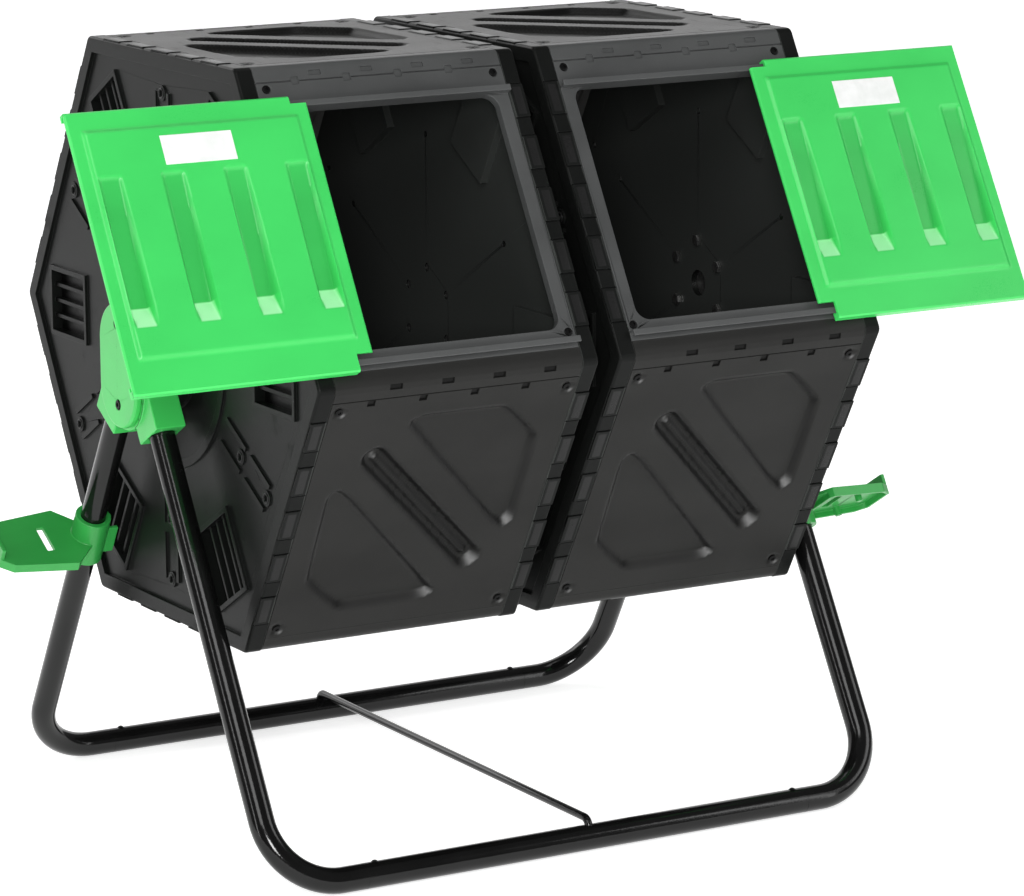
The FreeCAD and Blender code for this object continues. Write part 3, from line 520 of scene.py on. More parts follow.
def points_recipe() -> Recipe:
    """A tree that stands one part on every point.

    Returns:
        The tree. Each point's facing and along attributes aim the part; Twist turns it at random.
    """
    recipe = Recipe("part_on_every_point", (("Part", "NodeSocketObject"), ("Twist", "NodeSocketFloat"),
                                            ("Seed", "NodeSocketInt"), ("Finish", "NodeSocketMaterial")))
    part = recipe.node("GeometryNodeObjectInfo", {"transform_space": "ORIGINAL"},
                       {"Object": recipe.given("Part")}, "Geometry")
    vector = {"data_type": "FLOAT_VECTOR"}
    facing = recipe.node("GeometryNodeInputNamedAttribute", vector, {"Name": "facing"}, "Attribute")
    along = recipe.node("GeometryNodeInputNamedAttribute", vector, {"Name": "along"}, "Attribute")
    upright = recipe.node("FunctionNodeAlignRotationToVector", {"axis": "Z"}, {"Vector": facing})
    aimed = recipe.node("FunctionNodeAlignRotationToVector", {"axis": "X", "pivot_axis": "Z"},
                        {"Rotation": upright, "Vector": along})
    chance = recipe.node("FunctionNodeRandomValue", {"data_type": "FLOAT"},
                         {"Max": recipe.given("Twist"), "Seed": recipe.given("Seed")}, "Value")
    spin = recipe.node("FunctionNodeAxisAngleToRotation", {}, {"Axis": (0, 0, 1), "Angle": chance})
    turned = recipe.node("FunctionNodeRotateRotation", {"rotation_space": "LOCAL"},
                         {"Rotation": aimed, "Rotate By": spin})
    parts = recipe.node("GeometryNodeInstanceOnPoints", {},
                        {"Points": recipe.given("Geometry"), "Instance": part, "Rotation": turned})
    recipe.close(parts)
    return recipe


def tube_recipe() -> Recipe:
    """A tree that sweeps a round tube along the edges of a mesh.

    Returns:
        The tree.
    """
    recipe = Recipe("tube_along_path", (("Radius", "NodeSocketFloat"), ("Sides", "NodeSocketInt"),
                                        ("Finish", "NodeSocketMaterial")))
    path = recipe.node("GeometryNodeMeshToCurve", {}, {"Mesh": recipe.given("Geometry")})
    ring = recipe.node("GeometryNodeCurvePrimitiveCircle", {},
                       {"Radius": recipe.given("Radius"), "Resolution": recipe.given("Sides")})
    tube = recipe.node("GeometryNodeCurveToMesh", {},
                       {"Curve": path, "Profile Curve": ring, "Fill Caps": True})
    recipe.close(tube)
    return recipe


def ring_recipe() -> Recipe:
    """A tree that sets eyelets in a ring on the end of a drum.

    Returns:
        The tree. The ring lies across X, with its first eyelet straight up.
    """
    recipe = Recipe("eyelets_in_a_ring", (("Count", "NodeSocketInt"), ("Ring radius", "NodeSocketFloat"),
                                          ("Eyelet radius", "NodeSocketFloat"),
                                          ("Wire radius", "NodeSocketFloat"), ("Centre", "NodeSocketVector"),
                                          ("Finish", "NodeSocketMaterial")))
    eyelet_path = recipe.node("GeometryNodeCurvePrimitiveCircle", {},
                              {"Radius": recipe.given("Eyelet radius"), "Resolution": 24})
    wire = recipe.node("GeometryNodeCurvePrimitiveCircle", {},
                       {"Radius": recipe.given("Wire radius"), "Resolution": 8})
    eyelet = recipe.node("GeometryNodeCurveToMesh", {}, {"Curve": eyelet_path, "Profile Curve": wire})
    places = recipe.node("GeometryNodeMeshCircle", {},
                         {"Vertices": recipe.given("Count"), "Radius": recipe.given("Ring radius")})
    ring = recipe.node("GeometryNodeInstanceOnPoints", {}, {"Points": places, "Instance": eyelet})
    upright = recipe.node("GeometryNodeTransform", {},
                          {"Geometry": ring, "Translation": recipe.given("Centre"),
                           "Rotation": (0.0, math.pi / 2, 0.0)})
    recipe.close(upright)
    return recipe


# ---- mesh work ----------------------------------------------------------------------------


def new_piece(name: str, mesh: bpy.types.Mesh) -> bpy.types.Object:
    """Put a mesh in the scene.

    Args:
        name: The piece's name.
        mesh: Its mesh.

    Returns:
        The new object.
    """
    piece = bpy.data.objects.new(name, mesh)
    bpy.context.scene.collection.objects.link(piece)
    return piece


def settle(piece: bpy.types.Object) -> None:
    """Turn a piece's modifiers into plain mesh and drop them.

    Args:
        piece: The piece, changed in place.
    """
    bpy.context.view_layer.update()
    graph = bpy.context.evaluated_depsgraph_get()
    mesh = bpy.data.meshes.new_from_object(piece.evaluated_get(graph))
    piece.modifiers.clear()
    piece.data = mesh


def shade(piece: bpy.types.Object, angle: float = CREASE, bevelled: bool = False) -> None:
    """Shade smooth, with sharp edges past an angle and flats kept flat.

    Args:
        piece: The piece.
        angle: The angle, in degrees.
        bevelled: Whether a bevel has rated the faces, so that its strips follow the flats.
    """
    mesh = piece.data
    mesh.polygons.foreach_set("use_smooth", [True] * len(mesh.polygons))
    mesh.set_sharp_from_angle(angle=math.radians(angle))
    weights = piece.modifiers.new("Flats", "WEIGHTED_NORMAL")
    weights.keep_sharp = True
    weights.use_face_influence = bevelled
    settle(piece)


def mesh_from(work: bmesh.types.BMesh, name: str, finish: bpy.types.Material | None = None) -> bpy.types.Mesh:
    """Make a mesh of a bmesh and free it.

    Args:
        work: The bmesh.
        name: The mesh's name.
        finish: Its material, if it needs one yet.

    Returns:
        The mesh.
    """
    mesh = bpy.data.meshes.new(name)
    work.to_mesh(mesh)
    work.free()
    if finish is not None:
        mesh.materials.append(finish)
    return mesh


def rounded_copy(node: str, finish: bpy.types.Material, turn: Turn = Turn.MOULDED) -> bpy.types.Object:
    """A copy of a CAD node with its points joined and its edges rounded, which replaces the node.

    Args:
        node: The CAD node.
        finish: The copy's material.
        turn: How strongly its edges are rounded.

    Returns:
        The copy.
    """
    source = frame["nodes"][node]
    work = bmesh.new()
    work.from_mesh(source.data)
    bmesh.ops.remove_doubles(work, verts=work.verts, dist=WELD)
    piece = new_piece(f"{node}_moulded", mesh_from(work, f"{node}_skin", finish))
    bevel = piece.modifiers.new("Edges", "BEVEL")
    bevel.width = turn.value
    bevel.segments = 2
    bevel.limit_method = "ANGLE"
    bevel.angle_limit = math.radians(CREASE)
    bevel.use_clamp_overlap = False
    bevel.miter_outer = "MITER_ARC"
    bevel.face_strength_mode = "FSTR_ALL"
    settle(piece)
    shade(piece, 50.0, bevelled=True)
    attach(piece, source["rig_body"])
    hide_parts(node)
    LOG.info("%s: %d faces", piece.name, len(piece.data.polygons))
    return piece


def loose_parts(node: str) -> list[list[Vector]]:
    """The separate solids of a CAD node.

    Args:
        node: The CAD node.

    Returns:
        The points of each solid.
    """
    work = bmesh.new()
    work.from_mesh(frame["nodes"][node].data)
    bmesh.ops.remove_doubles(work, verts=work.verts, dist=WELD)
    waiting = set(work.verts)
    parts = []
    while waiting:
        part = [waiting.pop()]
        for vertex in part:
            for edge in vertex.link_edges:
                other = edge.other_vert(vertex)
                if other in waiting:
                    waiting.discard(other)
                    part.append(other)
        parts.append([vertex.co.copy() for vertex in part])
    work.free()
    parts.sort(key=lambda part: tuple(round(value, 4) for value in middle_of(part)))
    return parts


def middle_of(points: Sequence[Vector]) -> Vector:
    """The middle of the box round some points."""
    return Vector([(min(p[axis] for p in points) + max(p[axis] for p in points)) / 2 for axis in range(3)])


@dataclass(frozen=True)
class Spot:
    """A place for a repeated part: where it stands, where it faces and which way it lies."""

    place: Vector
    facing: Vector
    along: Vector


def points_mesh(name: str, spots: Sequence[Spot]) -> bpy.types.Mesh:
    """A mesh of loose points that carry their directions.

    Args:
        name: The mesh's name.
        spots: The places.

    Returns:
        The mesh.
    """
    mesh = bpy.data.meshes.new(name)
    mesh.from_pydata([spot.place for spot in spots], [], [])
    for label in ("facing", "along"):
        values = mesh.attributes.new(label, "FLOAT_VECTOR", "POINT")
        values.data.foreach_set("vector", [number for spot in spots for number in getattr(spot, label)])
    return mesh


def prism(work: bmesh.types.BMesh, first: Sequence[Vector], last: Sequence[Vector]) -> None:
    """Add a closed prism between two outlines, faced outward.

    Args:
        work: The bmesh that it is added to.
        first: The points of one end.
        last: The points of the other end.
    """
    start, stop = ([work.verts.new(point) for point in outline] for outline in (first, last))
    faces = [work.faces.new(list(reversed(start))), work.faces.new(stop)]
    for index in range(len(start)):
        after = (index + 1) % len(start)
        faces.append(work.faces.new((start[index], start[after], stop[after], stop[index])))
    bmesh.ops.recalc_face_normals(work, faces=faces)


def lathe(work: bmesh.types.BMesh, profile: Sequence[tuple[float, float]], sides: int) -> None:
    """Add a closed turned shape that stands on Z.

    Args:
        work: The bmesh that it is added to.
        profile: Radius and height from the bottom's middle to the top's middle.
        sides: Corners of each ring.
    """
    rings = []
    for radius, height in profile[1:-1]:
        ring = []
        for side in range(sides):
            turn = math.tau * side / sides
            ring.append(work.verts.new((radius * math.cos(turn), radius * math.sin(turn), height)))
        rings.append(ring)
    for low, high in zip(rings, rings[1:]):
        for side in range(sides):
            after = (side + 1) % sides
            work.faces.new((low[side], low[after], high[after], high[side]))
    for ring, (_, height), outward in ((rings[0], profile[0], False), (rings[-1], profile[-1], True)):
        tip = work.verts.new((0, 0, height))
        for side in range(sides):
            pair = (ring[side], ring[(side + 1) % sides])
            work.faces.new((*pair, tip) if outward else (*reversed(pair), tip))


@dataclass(frozen=True)
class Fastener:
    """One kind of screw or bolt, head at the top, measured down from its seat."""

    name: str
    head_radius: float
    head_height: float
    shank_radius: float
    shank_length: float
    head_sides: int = 20
    drive_depth: float = 0.0007
    nut_height: float = 0.0

    def part(self) -> bpy.types.Object:
        """Build the fastener, with z 0 at the top of its head.

        Returns:
            A hidden object that a recipe copies.
        """
        work = bmesh.new()
        head = self.head_radius
        top = 0.0
        base = -self.head_height
        drive = head * 0.45
        lathe(work, [(0, base), (head * 0.96, base), (head, base + self.head_height * 0.25),
                     (head * 0.97, top - self.head_height * 0.2), (head * 0.84, top),
                     (drive, top), (drive * 0.9, top - self.drive_depth), (0, top - self.drive_depth)],
              self.head_sides)
        low = base - self.shank_length
        lathe(work, [(0, low), (self.shank_radius * 0.7, low), (self.shank_radius, low + 0.0008),
                     (self.shank_radius, base + 0.0002), (0, base + 0.0002)], 12)
        if self.nut_height:
            nut_low = low + 0.0001
            nut_top = nut_low + self.nut_height
            lathe(work, [(0, nut_low), (head * 0.86, nut_low), (head, nut_low + 0.0006),
                         (head, nut_top - 0.0006), (head * 0.86, nut_top), (0, nut_top)], FACES)
        piece = new_piece(self.name, mesh_from(work, self.name))
        shade(piece)
        return piece


@dataclass
class Workshop:
    """The finishes and recipes that all sub-assemblies share."""

    finishes: Finishes = field(default_factory=Finishes)
    points: Recipe = field(default_factory=points_recipe)
    tubes: Recipe = field(default_factory=tube_recipe)
    rings: Recipe = field(default_factory=ring_recipe)

    def repeat(self, name: str, part: bpy.types.Object, spots: Sequence[Spot],
               finish: bpy.types.Material, twist: float = 0.0) -> bpy.types.Object:
        """Stand a part on every spot and join the copies.

        Args:
            name: The finished piece's name.
            part: The part, which is used up.
            spots: Where it stands.
            finish: The material.
            twist: How far each copy may be turned about its own axis, in radians.

        Returns:
            The piece.
        """
        piece = self.points.run(name, points_mesh(name, spots), Part=part, Twist=twist, Seed=7, Finish=finish)
        bpy.data.objects.remove(part)
        LOG.info("%s: %d copies", name, len(spots))
        return piece

    def fasten(self, node: str, kind: Fastener, finish: bpy.types.Material, facing: Vector | None) -> None:
        """Replace a CAD node of screws or bolts with detailed ones.

        Args:
            node: The CAD node, whose solids give the places.
            kind: The fastener.
            finish: Its material.
            facing: Where the heads face, or None for outward from the axle.
        """
        spots = []
        for part in loose_parts(node):
            centre = middle_of(part)
            aim = facing if facing is not None else outward_from_axle(centre)
            reach = max((point - centre).dot(aim) for point in part)
            along = Vector((1, 0, 0)).cross(aim) if facing is None else Vector((0, 0, 1))
            spots.append(Spot(centre + aim * reach, aim, along))
        piece = self.repeat(f"{node}_turned", kind.part(), spots, finish, math.pi)
        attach(piece, frame["nodes"][node]["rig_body"])
        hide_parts(node)

    def tube(self, node: str, path: Sequence[Vector], radius: float) -> None:
        """Replace a CAD tube with one swept along a path.

        Args:
            node: The CAD node.
            path: The centre line.
            radius: The outer radius.
        """
        mesh = bpy.data.meshes.new(f"{node}_path")
        mesh.from_pydata(path, [(index, index + 1) for index in range(len(path) - 1)], [])
        piece = self.tubes.run(f"{node}_swept", mesh, Radius=radius, Sides=40, Finish=self.finishes.tube)
        shade(piece, 50.0)
        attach(piece, frame["nodes"][node]["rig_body"])
        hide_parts(node)
        LOG.info("%s: %d faces", piece.name, len(piece.data.polygons))


def face_way(angle: float) -> Vector:
    """The direction across the axle at an angle, in degrees from the back."""
    return Vector((0, math.cos(math.radians(angle)), math.sin(math.radians(angle))))


def outward_from_axle(point: Vector) -> Vector:
    """The direction in which the drum face nearest to a point looks."""
    angle = math.degrees(math.atan2(point.z - AXLE.z, point.y))
    half = FACE_TURN / 2
    return face_way(round((angle - half) / FACE_TURN) * FACE_TURN + half)


def box_of(node: str) -> tuple[Vector, Vector]:
    """The low and high corners of a CAD node's box."""
    low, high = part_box(node)
    return Vector(low), Vector(high)


def end_x(node: str, facing: int) -> float:
    """Where the outer surface of an end panel lies along the axle.

    Args:
        node: The end panel.
        facing: The sign of X in which the end faces.

    Returns:
        Its X.
    """
    low, high = box_of(node)
    return high.x if facing > 0 else low.x


def apothem_of(end_panel: str) -> float:
    """The distance from the axle to the drum's faces, read from an end panel."""
    return box_of(end_panel)[1].z - AXLE.z - CAD_TAB_RISE


def face_frame(side: Side, node: str, angle: float) -> Matrix:
    """The frame of a drum face: x along the axle, y up the face, z outward from its surface.

    Args:
        side: The chamber.
        node: The CAD node that the frame is centred on along the axle.
        angle: The direction of the face, in degrees from the back.

    Returns:
        The frame's matrix.
    """
    low, high = box_of(node)
    outward = face_way(angle)
    upward = face_way(angle - 90)
    turned = Matrix((Vector((1, 0, 0)), upward, outward)).transposed().to_4x4()
    middle = Vector(((low.x + high.x) / 2, 0, AXLE.z))
    turned.translation = middle + outward * apothem_of(f"{side.label}_outer_end_panel")
    return turned


# ---- side panels --------------------------------------------------------------------------


def eased(share: float) -> float:
    """A smooth step from 0 to 1, held at both ends."""
    share = min(1.0, max(0.0, share))
    return share * share * (3 - 2 * share)


def soft_least(values: Sequence[float], blur: float) -> float:
    """The least of some lengths, rounded where two are close."""
    least = min(values)
    return least - blur * math.log(sum(math.exp((least - value) / blur) for value in values))


def ruled(stops: Sequence[float], widest: float) -> list[float]:
    """Grid lines through the given stops, with none further apart than the widest gap."""
    stops = sorted(stops)
    lines = [stops[0]]
    for start, stop in zip(stops, stops[1:]):
        parts = max(1, math.ceil((stop - start) / widest))
        lines.extend(start + (stop - start) * part / parts for part in range(1, parts + 1))
    return lines


def both_sides(places: Sequence[float], gap: float) -> list[float]:
    """Each place less and plus a gap, for a crisp step there."""
    return [place + way * gap for place in places for way in (-1, 1)]


@dataclass
class PanelSkin:
    """The moulded skin of a side panel: relief, rounded drum edge, laps, slots and screw dishes.

    u runs along the axle, s up the face and round the drum's edge on to the next face.
    """

    half_length: float = 0.1322
    lap_reach: float = 0.0095
    lap_drop: float = 0.0033
    wall: float = 0.0030
    low_seam: float = -0.14605
    half_side: float = 0.1625
    band: float = 0.01615
    edge_radius: float = 0.014
    recess_depth: float = 0.0066
    recess_slope: float = 0.0068
    groove_half: float = 0.0155
    groove_length: float = 0.114
    groove_depth: float = 0.0085
    ridge_share: float = 0.5
    diagonal: float = math.radians(46)
    pitch: float = 0.055
    slot_depth: float = 0.0017
    recess_blur: float = 0.0022
    groove_slope: float = 0.55
    ridge_slope: float = 0.42
    ridge_length: float = 0.9
    ridge_fade: float = 0.01
    seam_half: float = 0.0005
    seam_depth: float = 0.0011
    screw_u: float = 0.122
    screw_v: float = 0.135
    dish_radius: float = 0.0078
    dish_slope: float = 0.0030
    dish_depth: float = 0.0016
    widest_gap: float = 0.0029
    crisp: float = 0.0002
    # The next three size the painted shade and painted highlight on the pressed walls.
    probe: float = 0.0012
    wall_steepness: float = 0.8
    glint_share: float = 0.5

    def __post_init__(self) -> None:
        """Work out the lines that the details share."""
        corners = ((-46, 112), (-33, 121), (62, 121), (106, 80), (110, -30), (99, -40), (88, -34))
        self.recess = [Vector((u, v)) / 1000 for u, v in corners]
        self.arc_start = self.half_side - self.edge_radius * math.tan(math.radians(30))
        self.arc_end = self.arc_start + self.edge_radius * math.radians(60)
        self.top = self.arc_end + self.band - (self.half_side - self.arc_start)
        self.seam = self.half_side - self.band
        self.slots = [(-0.0745 + self.pitch * index, -0.0615 + self.pitch * index) for index in range(4)]
        self.notches = [(-0.0945 + self.pitch * index, -0.0865 + self.pitch * index) for index in range(4)]
        self.slot_rows = (self.arc_start + 0.002, self.arc_start + 0.0075)
        self.notch_rows = (self.seam - 0.0075, self.seam - 0.0008)

    def _recess_inset(self, u: float, v: float) -> float:
        """How far a place lies inside the corner recess."""
        insets = []
        count = len(self.recess)
        for index, start in enumerate(self.recess):
            along = self.recess[(index + 1) % count] - start
            insets.append(((v - start.y) * -along.x + (u - start.x) * along.y) / along.length)
        return soft_least(insets, self.recess_blur)

    def level(self, u: float, s: float) -> float:
        """Height of the outer surface over the plain face.

        Args:
            u: Place along the axle.
            s: Place up the face and round the edge.

        Returns:
            The height, negative where it is pressed in.
        """
        if abs(u) > self.half_length or s < self.low_seam:
            return -self.lap_drop
        fall = 0.0
        for way in (-1, 1):
            inset = self._recess_inset(u * way, s * way)
            fall = max(fall, self.recess_depth * eased(inset / self.recess_slope))
        along = u * math.cos(self.diagonal) - s * math.sin(self.diagonal)
        across = u * math.sin(self.diagonal) + s * math.cos(self.diagonal)
        beyond = max(abs(along) - self.groove_length + self.groove_half, 0.0)
        inset = self.groove_half - math.hypot(beyond, across)
        groove = self.groove_depth * eased(inset / (self.groove_half * self.groove_slope))
        crest = eased(1 - abs(across) / (self.groove_half * self.ridge_slope))
        crest *= eased((self.groove_length * self.ridge_length - abs(along)) / self.ridge_fade)
        fall = max(fall, groove - self.groove_depth * self.ridge_share * crest)
        if abs(s - self.seam) < self.seam_half:
            fall = max(fall, self.seam_depth)
        for spans, rows in ((self.slots, self.slot_rows), (self.notches, self.notch_rows)):
            if rows[0] < s < rows[1] and any(low < u < high for low, high in spans):
                fall = self.slot_depth
        away = math.hypot(abs(u) - self.screw_u, abs(s) - self.screw_v)
        return -max(fall, self.dish_depth * eased((self.dish_radius - away) / self.dish_slope))

    def place(self, u: float, s: float, level: float) -> Vector:
        """Where a place of the skin lies in the face's frame, whose z is 0 on the face.

        Args:
            u: Place along the axle.
            s: Place up the face and round the edge.
            level: Height over the surface.

        Returns:
            The place.
        """
        if s <= self.arc_start:
            return Vector((u, s, level))
        turn = min(s - self.arc_start, self.arc_end - self.arc_start) / self.edge_radius
        reach = self.edge_radius + level
        across = self.arc_start + reach * math.sin(turn)
        place = Vector((u, across, reach * math.cos(turn) - self.edge_radius))
        if s > self.arc_end:
            place += Vector((0, math.cos(turn), -math.sin(turn))) * (s - self.arc_end)
        return place

    def _wall(self, u: float, s: float) -> tuple[float, float]:
        """How much a place lies on a pressed wall, and how much that wall faces up and to the left, for the
        painted shade and painted highlight there.

        Args:
            u: Place along the axle.
            s: Place up the face.

        Returns:
            Two shares, from 0 to 1.
        """
        if abs(u) > self.half_length - 0.002 or not self.low_seam + 0.002 < s < self.seam - 0.010:
            return 0.0, 0.0
        across = self.level(u + self.probe, s) - self.level(u - self.probe, s)
        upward = self.level(u, s + self.probe) - self.level(u, s - self.probe)
        slope = math.hypot(across, upward)
        tip = max(0.0, (across - upward) / (slope + 1e-9) / math.sqrt(2))
        return eased(slope / (2 * self.probe) / self.wall_steepness), tip

    def shape(self) -> tuple[list[Vector], list[tuple[int, ...]], dict[str, list[float]]]:
        """The skin in the face's frame.

        Returns:
            Its points, its faces, and the marks of each point: painted shade, painted light and painted
            highlight.
        """
        steps_u = [end for pair in self.slots + self.notches for end in pair]
        steps_u += [-self.half_length, self.half_length]
        ends_u = [-self.half_length - self.lap_reach, self.half_length + self.lap_reach]
        columns = ruled(ends_u + both_sides(steps_u, self.crisp), self.widest_gap)
        steps_s = [self.low_seam, *self.slot_rows, *self.notch_rows,
                   self.seam - self.seam_half, self.seam + self.seam_half]
        ends_s = [self.low_seam - self.lap_reach, self.top]
        rows = ruled(ends_s + both_sides(steps_s, self.crisp * 0.6), self.widest_gap)
        points: list[Vector] = []
        marks: dict[str, list[float]] = {"recess": [], "inside": [], "glint": []}
        for outer in (True, False):
            for u in columns:
                for s in rows:
                    level = self.level(u, s)
                    points.append(self.place(u, s, level if outer else level - self.wall))
                    # Painted shade on pressed walls and in slots, painted light on the inner skin, painted
                    # highlight on walls that face up and to the left.
                    wall, tip = self._wall(u, s) if outer else (0.0, 0.0)
                    slot = float(outer and level == -self.slot_depth)
                    marks["recess"].append(max(wall * (1 - tip**3), slot))
                    marks["inside"].append(float(not outer))
                    marks["glint"].append(wall * tip**8 * self.glint_share)
        return points, self._faces(len(columns), len(rows)), marks

    @staticmethod
    def _faces(columns: int, rows: int) -> list[tuple[int, ...]]:
        """The faces of a closed sheet of two skins.

        Args:
            columns: Grid lines along the axle.
            rows: Grid lines up the face.

        Returns:
            The faces, outward.
        """
        inner = columns * rows
        faces = []
        for column in range(columns - 1):
            for row in range(rows - 1):
                first = column * rows + row
                ring = (first, first + rows, first + rows + 1, first + 1)
                faces.append(ring)
                faces.append(tuple(inner + index for index in reversed(ring)))
        rim = [column * rows for column in range(columns)]
        rim += [(columns - 1) * rows + row for row in range(1, rows)]
        rim += [column * rows + rows - 1 for column in range(columns - 2, -1, -1)]
        rim += list(range(rows - 2, 0, -1))
        for start, stop in zip(rim, rim[1:] + rim[:1]):
            faces.append((start, inner + start, inner + stop, stop))
        return faces


def carry(mesh: bpy.types.Mesh, name: str, values: Sequence[float], domain: str = "POINT") -> None:
    """Store a number on every point or face of a mesh.

    Args:
        mesh: The mesh.
        name: The attribute's name.
        values: The numbers.
        domain: POINT or FACE.
    """
    attribute = mesh.attributes.new(name, "FLOAT", domain)
    attribute.data.foreach_set("value", values)


# ---- drum ---------------------------------------------------------------------------------


@dataclass
class Drum:
    """The two chambers: panels, ends, coupling and axle stubs."""

    shop: Workshop
    side_angles: tuple[int, ...] = (30, 90, 210, 270, 330)
    tab_pitch: float = 0.054
    tab_half: float = 0.0145
    tab_rise: float = 0.0009
    tab_edge: float = 0.0006
    tab_steps: range = range(-2, 3)
    # Depths that pick the pocket floors for painted shade and the chamber side for painted light.
    pocket_floor: float = 0.0046
    rib_reach: float = 0.0015
    rim_width: float = 0.0175
    eyelet_rings: tuple[tuple[str, float], ...] = (("inner", 0.180), ("outer", 0.241))
    eyelet_depth: float = 0.0020
    eyelet_radius: float = 0.0046
    eyelet_wire: float = 0.0009
    panel_screw: Fastener = Fastener("panel_screw", 0.0042, 0.0016, 0.0019, 0.009, 20, 0.0008)
    through_bolt: Fastener = Fastener("through_bolt", 0.0064, 0.0036, 0.004, 0.0355, 6, 0.0004, 0.004)
    stub_bolt: Fastener = Fastener("stub_bolt", 0.0064, 0.0036, 0.004, 0.0134, 6, 0.0004, 0.004)

    def build(self) -> None:
        """Build and dress every piece of the drum."""
        finishes = self.shop.finishes
        across = Vector((1, 0, 0))
        skin = PanelSkin().shape()
        for side in Side:
            for angle in self.side_angles:
                self._side_panel(side, angle, skin)
            rounded_copy(f"{side.label}_door_frame", finishes.frame)
            for place, facing in (("outer", side.value), ("inner", -side.value)):
                node = f"{side.label}_{place}_end_panel"
                self._mark_end(rounded_copy(node, finishes.end, Turn.FINE), node, facing)
                self._rim_tabs(node, facing)
                self._eyelets(node, facing)
            rounded_copy(f"{side.label}_axle_stub", finishes.zinc, Turn.CRISP)
            self.shop.fasten(f"{side.label}_axle_bolts", self.stub_bolt, finishes.zinc, across * side.value)
            self.shop.fasten(f"{side.label}_panel_screws", self.panel_screw, finishes.black_steel, None)
        rounded_copy("chamber_coupling", finishes.end)
        self.shop.fasten("coupling_bolts", self.through_bolt, finishes.zinc, across)

    def _side_panel(self, side: Side, angle: int, skin: tuple) -> None:
        """One closed face of a chamber.

        Args:
            side: Left or right.
            angle: The direction in which it faces.
            skin: Points, faces and marks of the panel in its face's frame.
        """
        node = f"{side.label}_side_panel_{angle:03d}"
        place = face_frame(side, node, angle)
        points, faces, marks = skin
        mesh = bpy.data.meshes.new(f"{node}_skin")
        mesh.from_pydata([place @ point for point in points], [], faces)
        for name, values in marks.items():
            carry(mesh, name, values)
        mesh.materials.append(self.shop.finishes.panel)
        piece = new_piece(f"{node}_moulded", mesh)
        shade(piece, 55.0)
        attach(piece, "drum")
        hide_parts(node)
        LOG.info("%s: %d faces", piece.name, len(piece.data.polygons))

    def _mark_end(self, piece: bpy.types.Object, node: str, facing: int) -> None:
        """Mark an end panel's pockets for painted shade and its chamber side for painted light.

        Args:
            piece: The end panel's piece.
            node: Its CAD node.
            facing: The sign of X in which the end faces.
        """
        outer_x = end_x(node, facing)
        out = Vector((facing, 0, 0))
        solid = BVHTree.FromPolygons([vertex.co for vertex in piece.data.vertices],
                                     [face.vertices for face in piece.data.polygons])
        recess, inside = [], []
        for face in piece.data.polygons:
            depth = (outer_x - face.center.x) * facing
            covered = solid.ray_cast(face.center + face.normal * 0.0004, out)[0] is not None
            # Painted light on faces inside the chamber, painted shade on the pocket floors.
            inside.append(float(covered and depth > self.rib_reach))
            recess.append(float(face.normal.dot(out) > 0.5 and depth > self.pocket_floor))
        carry(piece.data, "recess", recess, "FACE")
        carry(piece.data, "inside", inside, "FACE")

    def _tab(self) -> bpy.types.Object:
        """One snap tab: a low rounded strap on the rim.

        Returns:
            A hidden object: x along the rim, y towards the end's face, z outward.
        """
        rise = self.tab_rise
        section = [(-0.0064, -0.0004), (-0.0056, rise * 0.7), (-0.0044, rise), (0.0034, rise),
                   (0.0056, rise * 0.5), (0.0066, -0.0004), (0.0050, -0.0014), (-0.0048, -0.0014)]
        work = bmesh.new()
        prism(work, *([Vector((x, y, z)) for y, z in section] for x in (-self.tab_half, self.tab_half)))
        piece = new_piece("snap_tab", mesh_from(work, "snap_tab"))
        bevel = piece.modifiers.new("Edges", "BEVEL")
        bevel.width = self.tab_edge
        bevel.segments = 2
        bevel.limit_method = "ANGLE"
        bevel.angle_limit = math.radians(40)
        settle(piece)
        shade(piece, 40.0)
        return piece

    def _rim_tabs(self, node: str, facing: int) -> None:
        """The snap tabs along the six sides of an end panel's rim.

        Args:
            node: The end panel.
            facing: The sign of X in which the end faces.
        """
        rim = Vector((end_x(node, facing) - facing * self.rim_width / 2, 0, AXLE.z))
        spots = []
        for face in range(FACES):
            normal = face_way(FACE_TURN * (face + 0.5))
            run = face_way(FACE_TURN * (face + 0.5) + 90)
            for step in self.tab_steps:
                place = rim + normal * apothem_of(node) + run * (step * self.tab_pitch)
                spots.append(Spot(place, normal, run * -facing))
        piece = self.shop.repeat(f"{node}_snap_tabs", self._tab(), spots, self.shop.finishes.tab)
        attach(piece, "drum")

    def _eyelets(self, node: str, facing: int) -> None:
        """The eyelets round the air vents of an end panel.

        Args:
            node: The end panel.
            facing: The sign of X in which the end faces.
        """
        centre = (end_x(node, facing) - facing * self.eyelet_depth, 0.0, AXLE.z)
        for label, radius in self.eyelet_rings:
            seed = bpy.data.meshes.new("ring_seed")
            piece = self.shop.rings.run(f"{node}_{label}_eyelets", seed, Count=FACES, Ring_radius=radius,
                                        Eyelet_radius=self.eyelet_radius, Wire_radius=self.eyelet_wire,
                                        Centre=centre, Finish=self.shop.finishes.tab)
            shade(piece, 60.0)
            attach(piece, "drum")


# ---- doors --------------------------------------------------------------------------------


